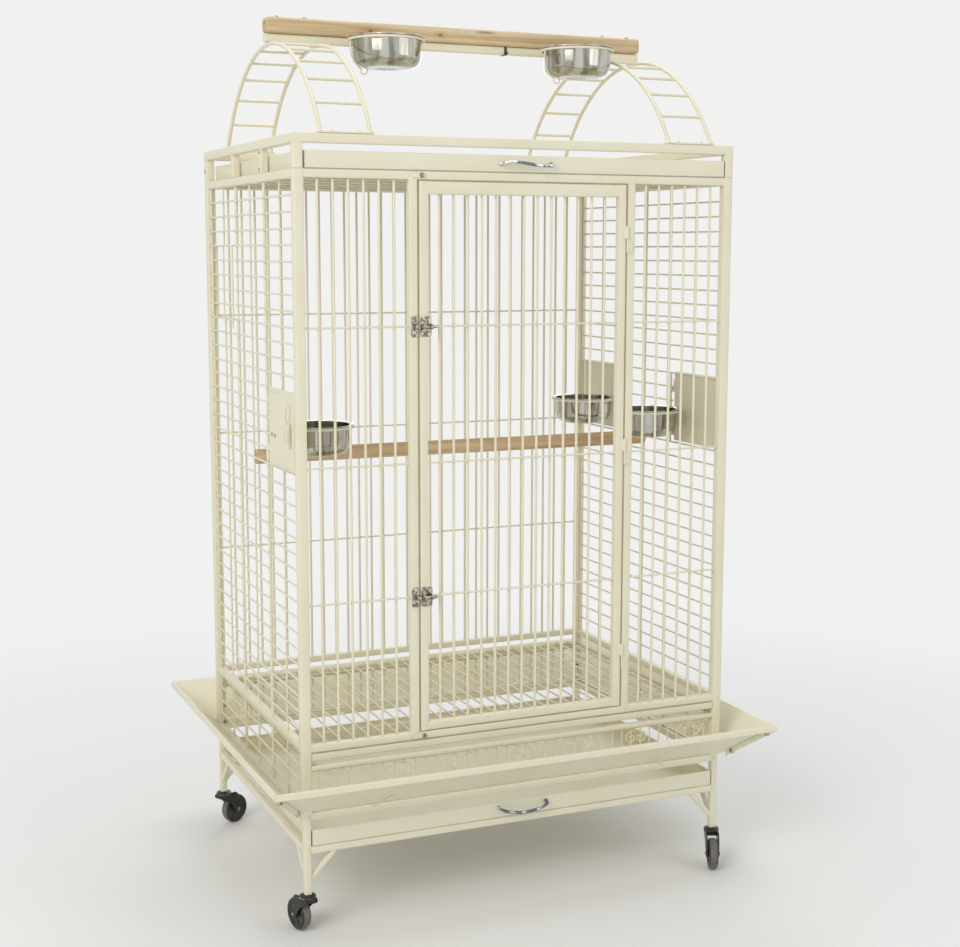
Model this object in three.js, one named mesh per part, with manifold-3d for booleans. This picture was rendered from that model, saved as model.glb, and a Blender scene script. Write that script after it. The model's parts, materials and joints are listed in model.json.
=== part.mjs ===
// Play top bird cage on a wheeled stand. Millimetres, +Z up, the front faces -Y.
// The origin lies on the floor under the middle of the cage.
import * as THREE from 'three';
import { mergeVertices } from 'three/addons/utils/BufferGeometryUtils.js';
import Module from 'manifold-3d';

const wasm = await Module();
wasm.setup();

// Body, read from the photograph
const cageWidth = 914;
const cageDepth = 650;
const legFootHeight = 80;
const standTopHeight = 240;
const ledgeTopHeight = 331;
const floorRailRise = 41;
const roofRailHeight = 1420;
const topFrameRise = 63;
const postSize = 19;
const railSize = 16;
const topRailSize = 18;
const floorRailSize = 14;
const ledgeSize = 9;
const gap = 0.3;
const weld = 0.001;

// Wires
const barSize = 5;
const rodSize = 4;
const wireSize = 4;
const stoutWireSize = 7;
const seamWireSize = 2;
const edgeSkin = 0.4;
const wireLayerOffset = 3.5;
const barOffset = 7;
const sideRowCount = 35;
const sideColumnCount = 6;
const lowerRowCount = 3;
const rodShares = [0.2538, 0.4981, 0.7433];
const barsPerSide = 6;
const barsInDoor = 13;
const barsInBack = 29;
const barsInLowerBack = 29;

// Front door
const doorHalfWidth = 216.5;
const doorClearance = 4;
const doorTopRail = 24;
const doorLift = 2;
const doorDrop = 2.3;
const doorHingeRadius = 2.2;
const doorHingeOut = 1.6;
const doorHingeLength = 26;
const doorHingeShares = [0.1, 0.5, 0.9];

// Stand, trays and grate
const standInset = 3;
const legSize = 14;
const standLowRailHeight = 160;
const braceDrop = 50;
const braceRun = 46;
const braceSize = 9;
const trayHeight = 32;
const trayWall = 1.5;
const trayBackMargin = 22;
const faceInset = 0.5;
const grateStripHeight = 343;
const grateStripSize = 14;
const grateWires = 29;
const grateCrossBars = 3;
const runnerWidth = 12;
const roofGridWires = 29;
const roofGridCrossBars = 4;
const roofGridTop = 1430;

// Skirts
const skirtSide = 80;
const skirtFront = 92;
const skirtRise = 79;
const skirtLift = 1;
const skirtSheet = 2.6;
const skirtLip = 13;
const skirtFlange = 11;
const mitreGap = 0.4;

// Feeder doors and bowls
const rowCountAboveFeeder = 13;
const rowCountToFeederFoot = 18;
const leftFeederHinge = 188;
const rightFeederHinge = 212;
const feederPlate = 1.5;
const feederPlateInset = 0.5;
const feederPlateLift = 4;
const feederPlateSide = 3;
const feederHingeRadius = 3.4;
const feederHingeOut = 1;
const feederKnuckle = 14;
const feederKnuckleMargin = 14;
const feederBowlIn = 88;
const feederBowlFromHinge = 34;
const feederRingLift = -2.9;
const gripReach = 14;
const gripSize = 4;
const gripHeight = 34;
const gripRise = 32.5;
const playBowlRadius = 77;
const feederBowlRadius = 72;
const bowlNeckIn = 8;
const bowlFootIn = 28;
const bowlDepth = 58;
const bowlSheet = 1.4;
const bowlRim = 2;
const bowlShoulderShare = 0.45;
const bowlBendShare = 0.12;
const ringPlay = 1.5;
const ringWire = 5;
const bracketWidth = 26;
const bracketDrop = 22;

// Breeder door
const rowCountAboveNest = 4;
const rowCountToNestFoot = 9;
const nestOpeningBack = 592;
const nestWire = 3;
const nestOverlap = 3;
const nestTabDrop = 16;
const nestTabWidth = 9;

// Play top
const ladderRailX = [52, 147];
const railRadius = 4;
const footPlate = 3;
const footPlateWidth = 14;
const footPlateOver = 7;
const ladderSpaces = 12;
const rungRadius = 3;
const perchRise = 194;
const perchTubeSize = 16;
const perchHalfLength = 413;
const woodHeight = 31;
const woodDepth = 32;
const woodChamferShare = 0.2;
const boltShares = [0.03, 0.1, 0.9, 0.97];
const boltRadius = 6;
const boltHead = 4;
const boltShank = 3;
const playBowlX = 208;
const playBowlShift = 12;
const playBowlOut = 99;
const innerPerchHeight = 880;
const innerPerchRadius = 15;

// Handles, latches and turn buttons
const handleSpan = 104;
const handleReach = 17;
const handleRadius = 3;
const latchRows = [0, 2];
const latchPlate = 1.5;
const latchHeight = 38;
const latchWidth = 22;
const keeperWidth = 14;
const latchAxisOut = 9;
const latchPinRadius = 3;
const latchLugRadius = 5.5;
const latchLug = 3.4;
const latchLugMargin = 1.2;
const latchTravel = 8;
const latchKnob = 6;
const latchKnobReach = 13;
const pinClearance = 0.4;
const buttonLength = 22;
const buttonWidth = 9;
const buttonHeadRadius = 5;
const buttonHead = 3;

// Casters
const wheelRadius = 32;
const wheelWidth = 20;
const wheelTrail = 31;
const axleRadius = 4;
const treadRound = 2.5;
const cheek = 3;
const wheelSideGap = 0.8;
const casterStemRadius = 16;
const crownFront = 20;
const cheekFront = 29;
const casterStem = 9;
const hoodHeight = 66;
const casterHeadings = { front_left: 105, front_right: -115, back_left: 27, back_right: 60 };

// Scrollwork
const ornamentCount = 7;
const ornamentShare = 0.377;
const baysAcross = 6.75;
const wiresPerBay = 6;
const scrollWire = 3;
const curlSteps = 18;
const handleSteps = 11;

const roundSegments = 24;
const smallSegments = 12;
const rodSegments = 8;
const arcSteps = 16;
const wireSides = 4;
const tubeSides = 6;

const halfWidth = cageWidth / 2;
const halfDepth = cageDepth / 2;
const innerHalfWidth = halfWidth - postSize;
const innerHalfDepth = halfDepth - postSize;
const bodyBottom = standTopHeight + gap;
const floorRailTopHeight = ledgeTopHeight + floorRailRise;
const floorRailBottom = floorRailTopHeight - floorRailSize;
const roofRailTop = roofRailHeight + railSize;
const topRailTop = roofRailTop + topFrameRise;
const perchTubeBottom = topRailTop + perchRise;
const ladderTop = perchTubeBottom - gap;
const rodHeights = rodShares.map((share) => (
  floorRailTopHeight + share * (roofRailHeight - floorRailTopHeight)
));
const half = (size) => size / 2;
const around = (middle, size) => [middle - half(size), middle + half(size)];
const spanOf = (reach) => [-reach, reach];
const ends = [-1, 1];

const paint = (color, roughness, metalness) => (
  new THREE.MeshStandardMaterial({ color, roughness, metalness })
);
const cream = paint('#e8e2c9', 0.45, 0.1);
const paleWood = paint('#e3c79c', 0.7, 0);
const tanWood = paint('#d2a878', 0.65, 0);
const steel = paint('#c9c9c4', 0.18, 1);
const nickel = paint('#b9b6ae', 0.25, 1);
const black = paint('#17181b', 0.4, 0);
const tread = paint('#5a5249', 0.8, 0);

function solid(geometry) {
  const plain = new THREE.BufferGeometry();
  plain.setAttribute('position', geometry.getAttribute('position'));
  if (geometry.index) plain.setIndex(geometry.index);
  const merged = mergeVertices(plain, weld);
  const corners = merged.index.array;
  const kept = [];
  for (let i = 0; i < corners.length; i += 3) {
    const [a, b, c] = corners.slice(i, i + 3);
    if (a !== b && b !== c && c !== a) kept.push(a, b, c);
  }
  const vertProperties = new Float32Array(merged.getAttribute('position').array);
  const mesh = new wasm.Mesh({ numProp: 3, vertProperties, triVerts: new Uint32Array(kept) });
  return new wasm.Manifold(mesh);
}

const join = (pieces) => pieces.reduce((sum, piece) => sum.add(piece));

function rod(from, to, radius, segments = rodSegments) {
  const start = new THREE.Vector3(...from);
  const way = new THREE.Vector3(...to).sub(start);
  const bar = new THREE.CylinderGeometry(radius, radius, way.length(), segments);
  const up = new THREE.Vector3(0, 1, 0);
  bar.applyQuaternion(new THREE.Quaternion().setFromUnitVectors(up, way.clone().normalize()));
  bar.translate(...start.addScaledVector(way, half(1)).toArray());
  return solid(bar);
}

// A solid between two outlines with the same number of corners; each outline is convex and flat.
function loft(first, second) {
  const count = first.length;
  const index = [];
  for (let i = 1; i + 1 < count; i += 1) {
    index.push(0, i + 1, i);
    index.push(count, count + i, count + i + 1);
  }
  for (let i = 0; i < count; i += 1) {
    const next = (i + 1) % count;
    index.push(i, next, count + next);
    index.push(i, count + next, count + i);
  }
  const corners = [...first, ...second];
  const volume = (a, b, c) => {
    const [p, q, r] = [a, b, c].map((i) => new THREE.Vector3(...corners[i]));
    return p.dot(q.cross(r));
  };
  let total = 0;
  for (let i = 0; i < index.length; i += 3) total += volume(...index.slice(i, i + 3));
  if (total < 0) index.reverse();
  const shape = new THREE.BufferGeometry();
  shape.setAttribute('position', new THREE.Float32BufferAttribute(corners.flat(), 3));
  shape.setIndex(index);
  return solid(shape);
}

// Faces that two blocks share get the same coordinates, so that joining them leaves no slivers.
function block([x0, x1], [y0, y1], [z0, z1]) {
  const ring = (z) => [[x0, y0, z], [x1, y0, z], [x1, y1, z], [x0, y1, z]];
  return loft(ring(z0), ring(z1));
}

function sweep(points, radius, sides, steps) {
  const section = new THREE.Shape();
  for (let i = 0; i < sides; i += 1) {
    const turn = (i + half(1)) / sides * Math.PI * 2;
    const corner = [radius * Math.cos(turn), radius * Math.sin(turn)];
    if (i === 0) section.moveTo(...corner);
    else section.lineTo(...corner);
  }
  section.closePath();
  const extrudePath = new THREE.CatmullRomCurve3(points.map((p) => new THREE.Vector3(...p)));
  return solid(new THREE.ExtrudeGeometry(section, { steps, bevelEnabled: false, extrudePath }));
}

function turned(profile, segments, [x, y, z]) {
  const lathe = new THREE.LatheGeometry(profile.map((p) => new THREE.Vector2(...p)), segments);
  lathe.rotateX(Math.PI / 2);
  lathe.translate(x, y, z);
  return solid(lathe);
}

function meshOf(name, form, material) {
  const data = form.getMesh();
  const geometry = new THREE.BufferGeometry();
  geometry.setAttribute('position', new THREE.Float32BufferAttribute(data.vertProperties, 3));
  geometry.setIndex(new THREE.Uint32BufferAttribute(data.triVerts, 1));
  geometry.computeVertexNormals();
  const mesh = new THREE.Mesh(geometry, material);
  mesh.name = name;
  return mesh;
}

const cage = new THREE.Group();
function add(name, form, material = cream, group = cage) {
  group.add(meshOf(name, form, material));
}
function moving() {
  const group = new THREE.Group();
  cage.add(group);
  return group;
}

// Planes that wire panels lie in: across and up are spans, depth is measured inward from the outer face.
const facing = {
  left: (across, [d0, d1], up) => block([d0 - halfWidth, d1 - halfWidth], across, up),
  right: (across, [d0, d1], up) => block([halfWidth - d1, halfWidth - d0], across, up),
  front: (across, [d0, d1], up) => block(across, [d0 - halfDepth, d1 - halfDepth], up),
  back: (across, [d0, d1], up) => block(across, [halfDepth - d1, halfDepth - d0], up),
};
const outerLayer = [wireLayerOffset, wireLayerOffset + wireSize];
const innerLayer = [outerLayer[1] + gap, outerLayer[1] + gap + wireSize];
const bothLayers = [outerLayer[0] - edgeSkin, innerLayer[1] + edgeSkin];

// A flat frame cut from one block, so that its faces stay whole.
function ringFrame(place, [a0, a1], [d0, d1], [z0, z1], edge) {
  const hole = place([a0 + edge, a1 - edge], [d0 - edge, d1 + edge], [z0 + edge, z1 - edge]);
  return place([a0, a1], [d0, d1], [z0, z1]).subtract(hole);
}

// A flat wire panel: uprights and cross wires lie in two layers and join only its edge wires.
function wirePanel(side, [a0, a1], [z0, z1], uprights, crosses) {
  const place = facing[side];
  const pieces = [ringFrame(place, [a0, a1], bothLayers, [z0, z1], seamWireSize)];
  const tuck = half(seamWireSize);
  for (const [middle, size] of uprights) {
    pieces.push(place(around(middle, size), innerLayer, [z0 + tuck, z1 - tuck]));
  }
  for (const height of crosses) {
    pieces.push(place([a0 + tuck, a1 - tuck], outerLayer, around(height, wireSize)));
  }
  return join(pieces);
}

// Side columns and rows
const sideStart = -innerHalfDepth + gap;
const sideEnd = innerHalfDepth - gap;
const columnPitch = 2 * innerHalfDepth / sideColumnCount;
const columns = [];
for (let i = 1; i < sideColumnCount; i += 1) {
  columns.push([-innerHalfDepth + i * columnPitch, i % 2 === 0 ? stoutWireSize : wireSize]);
}
const rowPitch = (roofRailHeight - floorRailTopHeight) / sideRowCount;
const rowHeight = (row) => roofRailHeight - row * rowPitch;
const rowsBetween = (top, bottom) => {
  const heights = [];
  for (let row = top + 1; row < bottom; row += 1) heights.push(rowHeight(row));
  return heights;
};
const columnsBetween = ([a0, a1]) => columns.filter(
  ([middle, size]) => middle - size > a0 && middle + size < a1,
);
const railDepth = [half(postSize - railSize), half(postSize + railSize)];
const seam = half(gap);

const sideRail = (side, up) => facing[side]([sideStart + edgeSkin, sideEnd - edgeSkin], railDepth, up);

function sideBand(side, across, topRow, bottomRow) {
  const up = [rowHeight(bottomRow) + seam, rowHeight(topRow) - seam];
  return wirePanel(side, across, up, columnsBetween(across), rowsBetween(topRow, bottomRow));
}

function sideTop(side, bottomRow) {
  const across = [sideStart, sideEnd];
  const up = [rowHeight(bottomRow) + seam, roofRailHeight + half(seamWireSize)];
  const panel = wirePanel(side, across, up, columnsBetween(across), rowsBetween(0, bottomRow));
  return panel.add(sideRail(side, [roofRailHeight, roofRailTop]));
}

function sideBottom(side) {
  const across = [sideStart, sideEnd];
  const topEdge = rowHeight(rowCountToFeederFoot) - seam;
  const heights = rowsBetween(rowCountToFeederFoot, sideRowCount);
  const lowerPitch = (floorRailBottom - bodyBottom) / (lowerRowCount + 1);
  for (let i = 1; i <= lowerRowCount; i += 1) heights.push(bodyBottom + i * lowerPitch);
  const panel = wirePanel(side, across, [bodyBottom, topEdge], columnsBetween(across), heights);
  return panel.add(sideRail(side, [floorRailBottom, floorRailTopHeight]));
}

// Top frame: a ring of rails on four corner posts, with short uprights on the sides
const stub = [roofRailTop + gap, topRailTop - half(topRailSize)];
const topInner = [halfWidth - topRailSize, halfDepth - topRailSize];
const underRail = [roofRailTop - topRailSize, topRailTop - topRailSize];
const aboveTop = topRailTop + topRailSize;
let topRing = block(spanOf(halfWidth), spanOf(halfDepth), [stub[0], topRailTop]);
topRing = topRing.subtract(block(...topInner.map(spanOf), [underRail[0], aboveTop]));
topRing = topRing.subtract(block(spanOf(topInner[0]), spanOf(halfDepth + topRailSize), underRail));
topRing = topRing.subtract(block(spanOf(halfWidth + topRailSize), spanOf(topInner[1]), underRail));
const topFrame = [topRing];
for (const side of ['left', 'right']) {
  for (const [middle, size] of columns.filter(([, width]) => width === stoutWireSize)) {
    topFrame.push(facing[side](around(middle, size + wireSize), railDepth, stub));
  }
}
add('top_frame', join(topFrame));

// Front frame
const dividerInner = doorHalfWidth + doorClearance;
const dividerOuter = dividerInner + railSize;
const hingeX = doorHalfWidth + half(doorClearance);
const hingeY = -halfDepth - doorHingeOut;
const doorBottom = floorRailTopHeight + doorLift;
const doorTop = roofRailHeight - doorDrop;
const knuckleAt = (share) => doorBottom + (doorTop - doorBottom) * share;
const bodyUp = [bodyBottom, roofRailTop];
const railReach = innerHalfWidth + half(postSize);
const dividerDepth = [faceInset, faceInset + railSize];
const frontDepth = [dividerDepth[0] + edgeSkin, dividerDepth[1] + edgeSkin];
const frontRail = (up) => facing.front(spanOf(railReach), frontDepth, up);
const dividerUp = [floorRailTopHeight - half(floorRailSize), roofRailHeight + half(railSize)];
const frontFrame = [
  facing.front([-halfWidth, -innerHalfWidth], [0, postSize], bodyUp),
  facing.front([innerHalfWidth, halfWidth], [0, postSize], bodyUp),
  frontRail([roofRailHeight, roofRailTop]),
  frontRail([floorRailBottom, floorRailTopHeight]),
  frontRail([ledgeTopHeight - ledgeSize, ledgeTopHeight]),
  facing.front([-dividerOuter, -dividerInner], dividerDepth, dividerUp),
  facing.front([dividerInner, dividerOuter], dividerDepth, dividerUp),
];
for (const share of doorHingeShares) {
  const base = knuckleAt(share);
  const top = base - gap;
  const bottom = top - doorHingeLength;
  frontFrame.push(rod([hingeX, hingeY, bottom], [hingeX, hingeY, top], doorHingeRadius));
  frontFrame.push(block([hingeX, dividerInner + half(railSize)],
    [hingeY, frontDepth[0] + doorHingeOut - halfDepth], [bottom, top]));
}
add('front_frame', join(frontFrame));

// Upright bars crossed by three thin rods
function barGrille(side, [a0, a1], [z0, z1], count) {
  const place = facing[side];
  const clear = (a1 - a0 - count * barSize) / (count + 1);
  const pitch = clear + barSize;
  const barDepth = [barOffset, barOffset + barSize];
  const rodDepth = around(barOffset + half(barSize), rodSize);
  const pieces = [];
  for (let i = 0; i < count; i += 1) {
    pieces.push(place(around(a0 + clear + half(barSize) + i * pitch, barSize), barDepth, [z0, z1]));
  }
  for (const height of rodHeights) pieces.push(place([a0, a1], rodDepth, around(height, rodSize)));
  return join(pieces);
}
const panelUp = [floorRailTopHeight + gap, roofRailHeight - gap];
const sectionSpan = [dividerOuter + gap, innerHalfWidth - gap];
add('front_grille_left', barGrille('front', sectionSpan.map((x) => -x).reverse(), panelUp, barsPerSide));
add('front_grille_right', barGrille('front', sectionSpan, panelUp, barsPerSide));

// Back panel
const backRail = (up) => facing.back([-railReach, railReach], railDepth, up);
const backPanel = [
  facing.back([-halfWidth, -innerHalfWidth], [0, postSize], bodyUp),
  facing.back([innerHalfWidth, halfWidth], [0, postSize], bodyUp),
  backRail([roofRailHeight, roofRailTop]),
  backRail([floorRailBottom, floorRailTopHeight]),
  backRail([ledgeTopHeight - ledgeSize, ledgeTopHeight]),
  backRail([bodyBottom, bodyBottom + ledgeSize]),
];
const backClear = 2 * innerHalfWidth / (barsInBack + 1);
for (let i = 1; i <= barsInBack; i += 1) {
  const across = around(-innerHalfWidth + i * backClear, barSize);
  const up = [floorRailTopHeight - half(floorRailSize), roofRailHeight + half(railSize)];
  backPanel.push(facing.back(across, innerLayer.map((d) => d + gap), up));
}
for (const height of rodHeights) {
  backPanel.push(facing.back([-railReach, railReach], outerLayer, around(height, rodSize)));
}
const lowerClear = 2 * innerHalfWidth / (barsInLowerBack + 1);
for (let i = 1; i <= barsInLowerBack; i += 1) {
  const across = around(-innerHalfWidth + i * lowerClear, barSize);
  const up = [bodyBottom + half(ledgeSize), ledgeTopHeight - half(ledgeSize)];
  backPanel.push(facing.back(across, innerLayer, up));
}
add('back_panel', join(backPanel));

// Side panels. Distances along a side are given from the front face.
const fromFront = (distance) => distance - halfDepth;
const hingeSeat = half(wireSize);
const feederKnuckles = () => {
  const [low, high] = [rowHeight(rowCountToFeederFoot), rowHeight(rowCountAboveFeeder)];
  return [low + feederKnuckleMargin, high - feederKnuckleMargin - 2 * feederKnuckle];
};
const feederAxis = (sign) => sign * (halfWidth + feederHingeOut);

// The fixed hinge knuckles that stand under the moving ones of a feeder door
function fixedKnuckles(sign, hinge, toward) {
  const pieces = [];
  const x = feederAxis(sign);
  for (const bottom of feederKnuckles()) {
    pieces.push(rod([x, hinge, bottom], [x, hinge, bottom + feederKnuckle - gap], feederHingeRadius));
    const tabX = [x, sign * (halfWidth - wireLayerOffset - half(wireSize))].sort((a, b) => a - b);
    const tabY = [hinge, hinge + toward * (hingeSeat + half(seamWireSize))].sort((a, b) => a - b);
    pieces.push(block(tabX, tabY, [bottom, bottom + feederKnuckle - gap]));
  }
  return join(pieces);
}

const leftHinge = fromFront(leftFeederHinge);
const rightFrontHinge = fromFront(rightFeederHinge);
const rightBackHinge = -rightFrontHinge;
const nestFront = columns[3][0];
const nestBack = fromFront(nestOpeningBack);
const wholeSide = [sideStart, sideEnd];

add('left_panel_top', sideTop('left', rowCountAboveNest));
add('left_panel_nest_front', sideBand('left', [sideStart, nestFront + hingeSeat],
  rowCountAboveNest, rowCountToNestFoot));
const nestAxis = [-halfWidth - feederHingeOut, nestBack];
const nestUp = [rowHeight(rowCountToNestFoot), rowHeight(rowCountAboveNest)];
const nestKnuckles = [nestUp[0] + feederKnuckleMargin, nestUp[1] - feederKnuckleMargin - 2 * feederKnuckle];
const nestStrip = [sideBand('left', [nestBack, sideEnd], rowCountAboveNest, rowCountToNestFoot)];
for (const bottom of nestKnuckles) {
  const top = bottom + feederKnuckle - gap;
  nestStrip.push(rod([...nestAxis, bottom], [...nestAxis, top], feederHingeRadius));
  nestStrip.push(block([-halfWidth, wireLayerOffset + half(wireSize) - halfWidth],
    [nestBack - gap, nestBack + seamWireSize - gap], [bottom, top]));
}
add('left_panel_nest_back', join(nestStrip));
add('left_panel_middle', sideBand('left', wholeSide, rowCountToNestFoot, rowCountAboveFeeder));
add('left_panel_feeder', sideBand('left', [leftHinge + hingeSeat, sideEnd],
  rowCountAboveFeeder, rowCountToFeederFoot)
  .add(fixedKnuckles(-1, leftHinge, 1)));
add('left_panel_lower', sideBottom('left'));
add('right_panel_top', sideTop('right', rowCountAboveFeeder));
add('right_panel_feeder', sideBand('right', [rightFrontHinge + hingeSeat, rightBackHinge - hingeSeat],
  rowCountAboveFeeder, rowCountToFeederFoot)
  .add(fixedKnuckles(1, rightFrontHinge, 1))
  .add(fixedKnuckles(1, rightBackHinge, -1)));
add('right_panel_lower', sideBottom('right'));

// Scrollwork under the floor of the cage
const bayPitch = 2 * innerHalfWidth / baysAcross;
const wirePitch = bayPitch / wiresPerBay;
const ornamentWidth = bayPitch * ornamentShare;
const scrollUp = [bodyBottom, ledgeTopHeight - ledgeSize - gap];
const scrollMiddle = halfDepth - half(postSize);
const curlPairShares = [
  [0.245, 0.574], [0.409, 0.647], [0.532, 0.758], [0.511, 0.856], [0.368, 0.924],
  [0.184, 0.905], [0.102, 0.832], [0.12, 0.78],
];
const ovalHalfShares = [
  [0.082, 0.77], [0.061, 0.697], [0.184, 0.617], [0.348, 0.629], [0.46, 0.721],
  [0.409, 0.832], [0.204, 0.893],
];
const ovalTopShares = [0, 0.912];
const curlBarShares = [[0.1, 0.785], [0.43, 0.785]];
const ovalBarShares = [[0.07, 0.765], [0.36, 0.765]];
const scrollPieces = [];
const wireUp = [scrollUp[0] + half(scrollWire), scrollUp[1] - half(scrollWire)];
const wireAt = (x) => block(around(x, scrollWire), around(-scrollMiddle, scrollWire), wireUp);
const scrollPoint = (middle, side) => ([across, rise]) => [
  middle + side * across * ornamentWidth, -scrollMiddle, scrollUp[0] + rise * (scrollUp[1] - scrollUp[0]),
];
const scrollLine = (z) => block(spanOf(innerHalfWidth - gap),
  around(-scrollMiddle, scrollWire + edgeSkin), [z, z + scrollWire]);
scrollPieces.push(scrollLine(scrollUp[0]), scrollLine(scrollUp[1] - scrollWire));
const firstBay = -half(ornamentCount - 1);
for (let i = 0; i < ornamentCount; i += 1) {
  const middle = (firstBay + i) * bayPitch;
  const [left, right] = ends.map((side) => scrollPoint(middle, side));
  const curled = i % 2 === 0;
  const paths = curled ? [curlPairShares.map(left), curlPairShares.map(right)] : [[
    ...ovalHalfShares.map(left), right(ovalTopShares), ...ovalHalfShares.map(right).reverse(),
  ]];
  for (const path of paths) {
    scrollPieces.push(sweep(path, half(scrollWire), wireSides, curled ? curlSteps : 2 * curlSteps));
  }
  const bar = curled ? curlBarShares : ovalBarShares;
  for (const at of [left, right]) {
    scrollPieces.push(rod(...bar.map(at), half(scrollWire - edgeSkin), wireSides));
  }
}
for (let x = half(wirePitch); x < innerHalfWidth - scrollWire; x += wirePitch) {
  scrollPieces.push(wireAt(x), wireAt(-x));
}
add('scroll_panel', join(scrollPieces));

// Roof grid under the play tray
function layGrid([x, y], top, wireCount, crossCount, cross) {
  const upper = [top - wireSize, top];
  const lower = [top - 2 * wireSize - gap, top - wireSize - gap];
  const flat = (across, up, along) => block(across, along, up);
  const pieces = [ringFrame(flat, spanOf(x), [lower[0] - edgeSkin, top + edgeSkin], y, cross)];
  const tuck = half(cross);
  for (let i = 1; i <= wireCount; i += 1) {
    const middle = -x + 2 * x * i / (wireCount + 1);
    pieces.push(block(around(middle, wireSize), [y[0] + tuck, y[1] - tuck], upper));
  }
  for (let i = 1; i <= crossCount; i += 1) {
    const middle = y[0] + (y[1] - y[0]) * i / (crossCount + 1);
    pieces.push(block([tuck - x, x - tuck], around(middle, wireSize), lower));
  }
  return join(pieces);
}
const roofSpan = [innerHalfWidth - gap, [gap - innerHalfDepth, innerHalfDepth - gap]];
add('roof_grid', layGrid(roofSpan, roofGridTop, roofGridWires, roofGridCrossBars, wireSize));

// Ladders that arch from the front rail to the back rail
const plateTop = topRailTop + gap + footPlate;
const arcFoot = halfDepth - railRadius - gap;
const arcTop = ladderTop - railRadius;
const arcRise = arcTop - plateTop;
const arcRadius = (arcFoot * arcFoot + arcRise * arcRise) / (2 * arcRise);
const arcMiddle = arcTop - arcRadius;
const arcHalfAngle = Math.asin(arcFoot / arcRadius);
const arcPoint = (x, share) => {
  const turn = (2 * share - 1) * arcHalfAngle;
  return [x, arcRadius * Math.sin(turn), arcMiddle + arcRadius * Math.cos(turn)];
};
function ladder(xs) {
  const pieces = [];
  for (const x of xs) {
    const path = [];
    for (let i = 0; i <= arcSteps; i += 1) path.push(arcPoint(x, i / arcSteps));
    pieces.push(sweep(path, railRadius, tubeSides, arcSteps));
  }
  for (let i = 1; i < ladderSpaces; i += 1) {
    if (2 * i !== ladderSpaces) {
      pieces.push(rod(...xs.map((x) => arcPoint(x, i / ladderSpaces)), rungRadius, tubeSides));
    }
  }
  for (const sign of [-1, 1]) {
    const y = [sign * halfDepth, sign * (halfDepth - footPlateWidth)].sort((a, b) => a - b);
    const x = [xs[0] - footPlateOver, xs[1] + footPlateOver];
    pieces.push(block(x, y, [topRailTop + gap, plateTop]));
  }
  return join(pieces);
}
add('ladder_left', ladder(ladderRailX.map((x) => x - halfWidth)));
add('ladder_right', ladder(ladderRailX.map((x) => halfWidth - x).reverse()));

// Play perch: steel tube, wooden beam and the bolts that hold it down
const tubeTop = perchTubeBottom + perchTubeSize;
const woodBottom = tubeTop + gap;
const woodTop = woodBottom + woodHeight;
const boltX = boltShares.map((share) => -perchHalfLength + 2 * perchHalfLength * share);
const perchTube = [
  block([-perchHalfLength, perchHalfLength], around(0, perchTubeSize), [perchTubeBottom, tubeTop]),
];
const corner = (x) => {
  const [y, chamfer] = [half(woodDepth), woodDepth * woodChamferShare];
  return [
    [x, -y + chamfer, woodBottom], [x, y - chamfer, woodBottom], [x, y, woodBottom + chamfer],
    [x, y, woodTop - chamfer], [x, y - chamfer, woodTop], [x, chamfer - y, woodTop],
    [x, -y, woodTop - chamfer], [x, -y, woodBottom + chamfer],
  ];
};
let wood = loft(corner(-perchHalfLength), corner(perchHalfLength));
for (const x of boltX) {
  const shankEnds = [tubeTop - half(perchTubeSize), woodTop + gap + half(boltHead)];
  perchTube.push(rod(...shankEnds.map((z) => [x, 0, z]), boltShank));
  perchTube.push(rod([x, 0, woodTop + gap], [x, 0, woodTop + gap + boltHead], boltRadius));
  wood = wood.subtract(rod([x, 0, tubeTop], [x, 0, woodTop + boltHead], boltShank + gap));
}
add('perch_tube', join(perchTube));
add('play_perch', wood, paleWood);

// Bowls and the rings that carry them
const ringInside = (radius) => radius - bowlNeckIn + ringPlay;
function ringAt(radius, place) {
  const [inside, outside] = [ringInside(radius), ringInside(radius) + ringWire];
  const section = [[inside, 0], [outside, 0], [outside, ringWire], [inside, ringWire], [inside, 0]];
  return turned(section, roundSegments, place);
}
function bowl(bowlRimRadius, [x, y, ringTop]) {
  const rimTop = gap + bowlRim;
  const bottom = rimTop - bowlDepth;
  const [bowlNeckRadius, bowlFootRadius] = [bowlRimRadius - bowlNeckIn, bowlRimRadius - bowlFootIn];
  const [wall, belly] = [bowlNeckRadius - bowlSheet, bowlFootRadius + bowlShoulderShare * bowlFootIn];
  const [shoulder, bend] = [bottom + bowlDepth * bowlShoulderShare, bottom + bowlDepth * bowlBendShare];
  const profile = [
    [0, bottom], [bowlFootRadius, bottom], [belly + 2 * bowlSheet, bend], [bowlNeckRadius, shoulder],
    [bowlNeckRadius, gap], [bowlRimRadius, gap], [bowlRimRadius, rimTop], [wall, rimTop],
    [wall, shoulder], [belly + bowlSheet, bend + bowlSheet], [bowlFootRadius - bowlSheet, bottom + bowlSheet],
    [0, bottom + bowlSheet],
  ];
  return turned(profile, roundSegments, [x, y, ringTop]);
}
const playRingZ = perchTubeBottom + gap;
for (const [name, sign] of [['left', -1], ['right', 1]]) {
  const x = playBowlShift + sign * playBowlX;
  const face = -half(perchTubeSize) - gap;
  const ringBack = ringInside(playBowlRadius) + half(ringWire) - playBowlOut;
  const holder = [
    ringAt(playBowlRadius, [x, -playBowlOut, playRingZ]),
    block(around(x, bracketWidth), [face - bowlRim, face], [playRingZ, tubeTop]),
    block(around(x, ringWire), [ringBack, face - half(bowlRim)], [playRingZ, playRingZ + ringWire]),
  ];
  add(`bowl_ring_${name}`, join(holder));
  add(`play_bowl_${name}`, bowl(playBowlRadius, [x, -playBowlOut, playRingZ + ringWire]), steel, moving());
}

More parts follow.
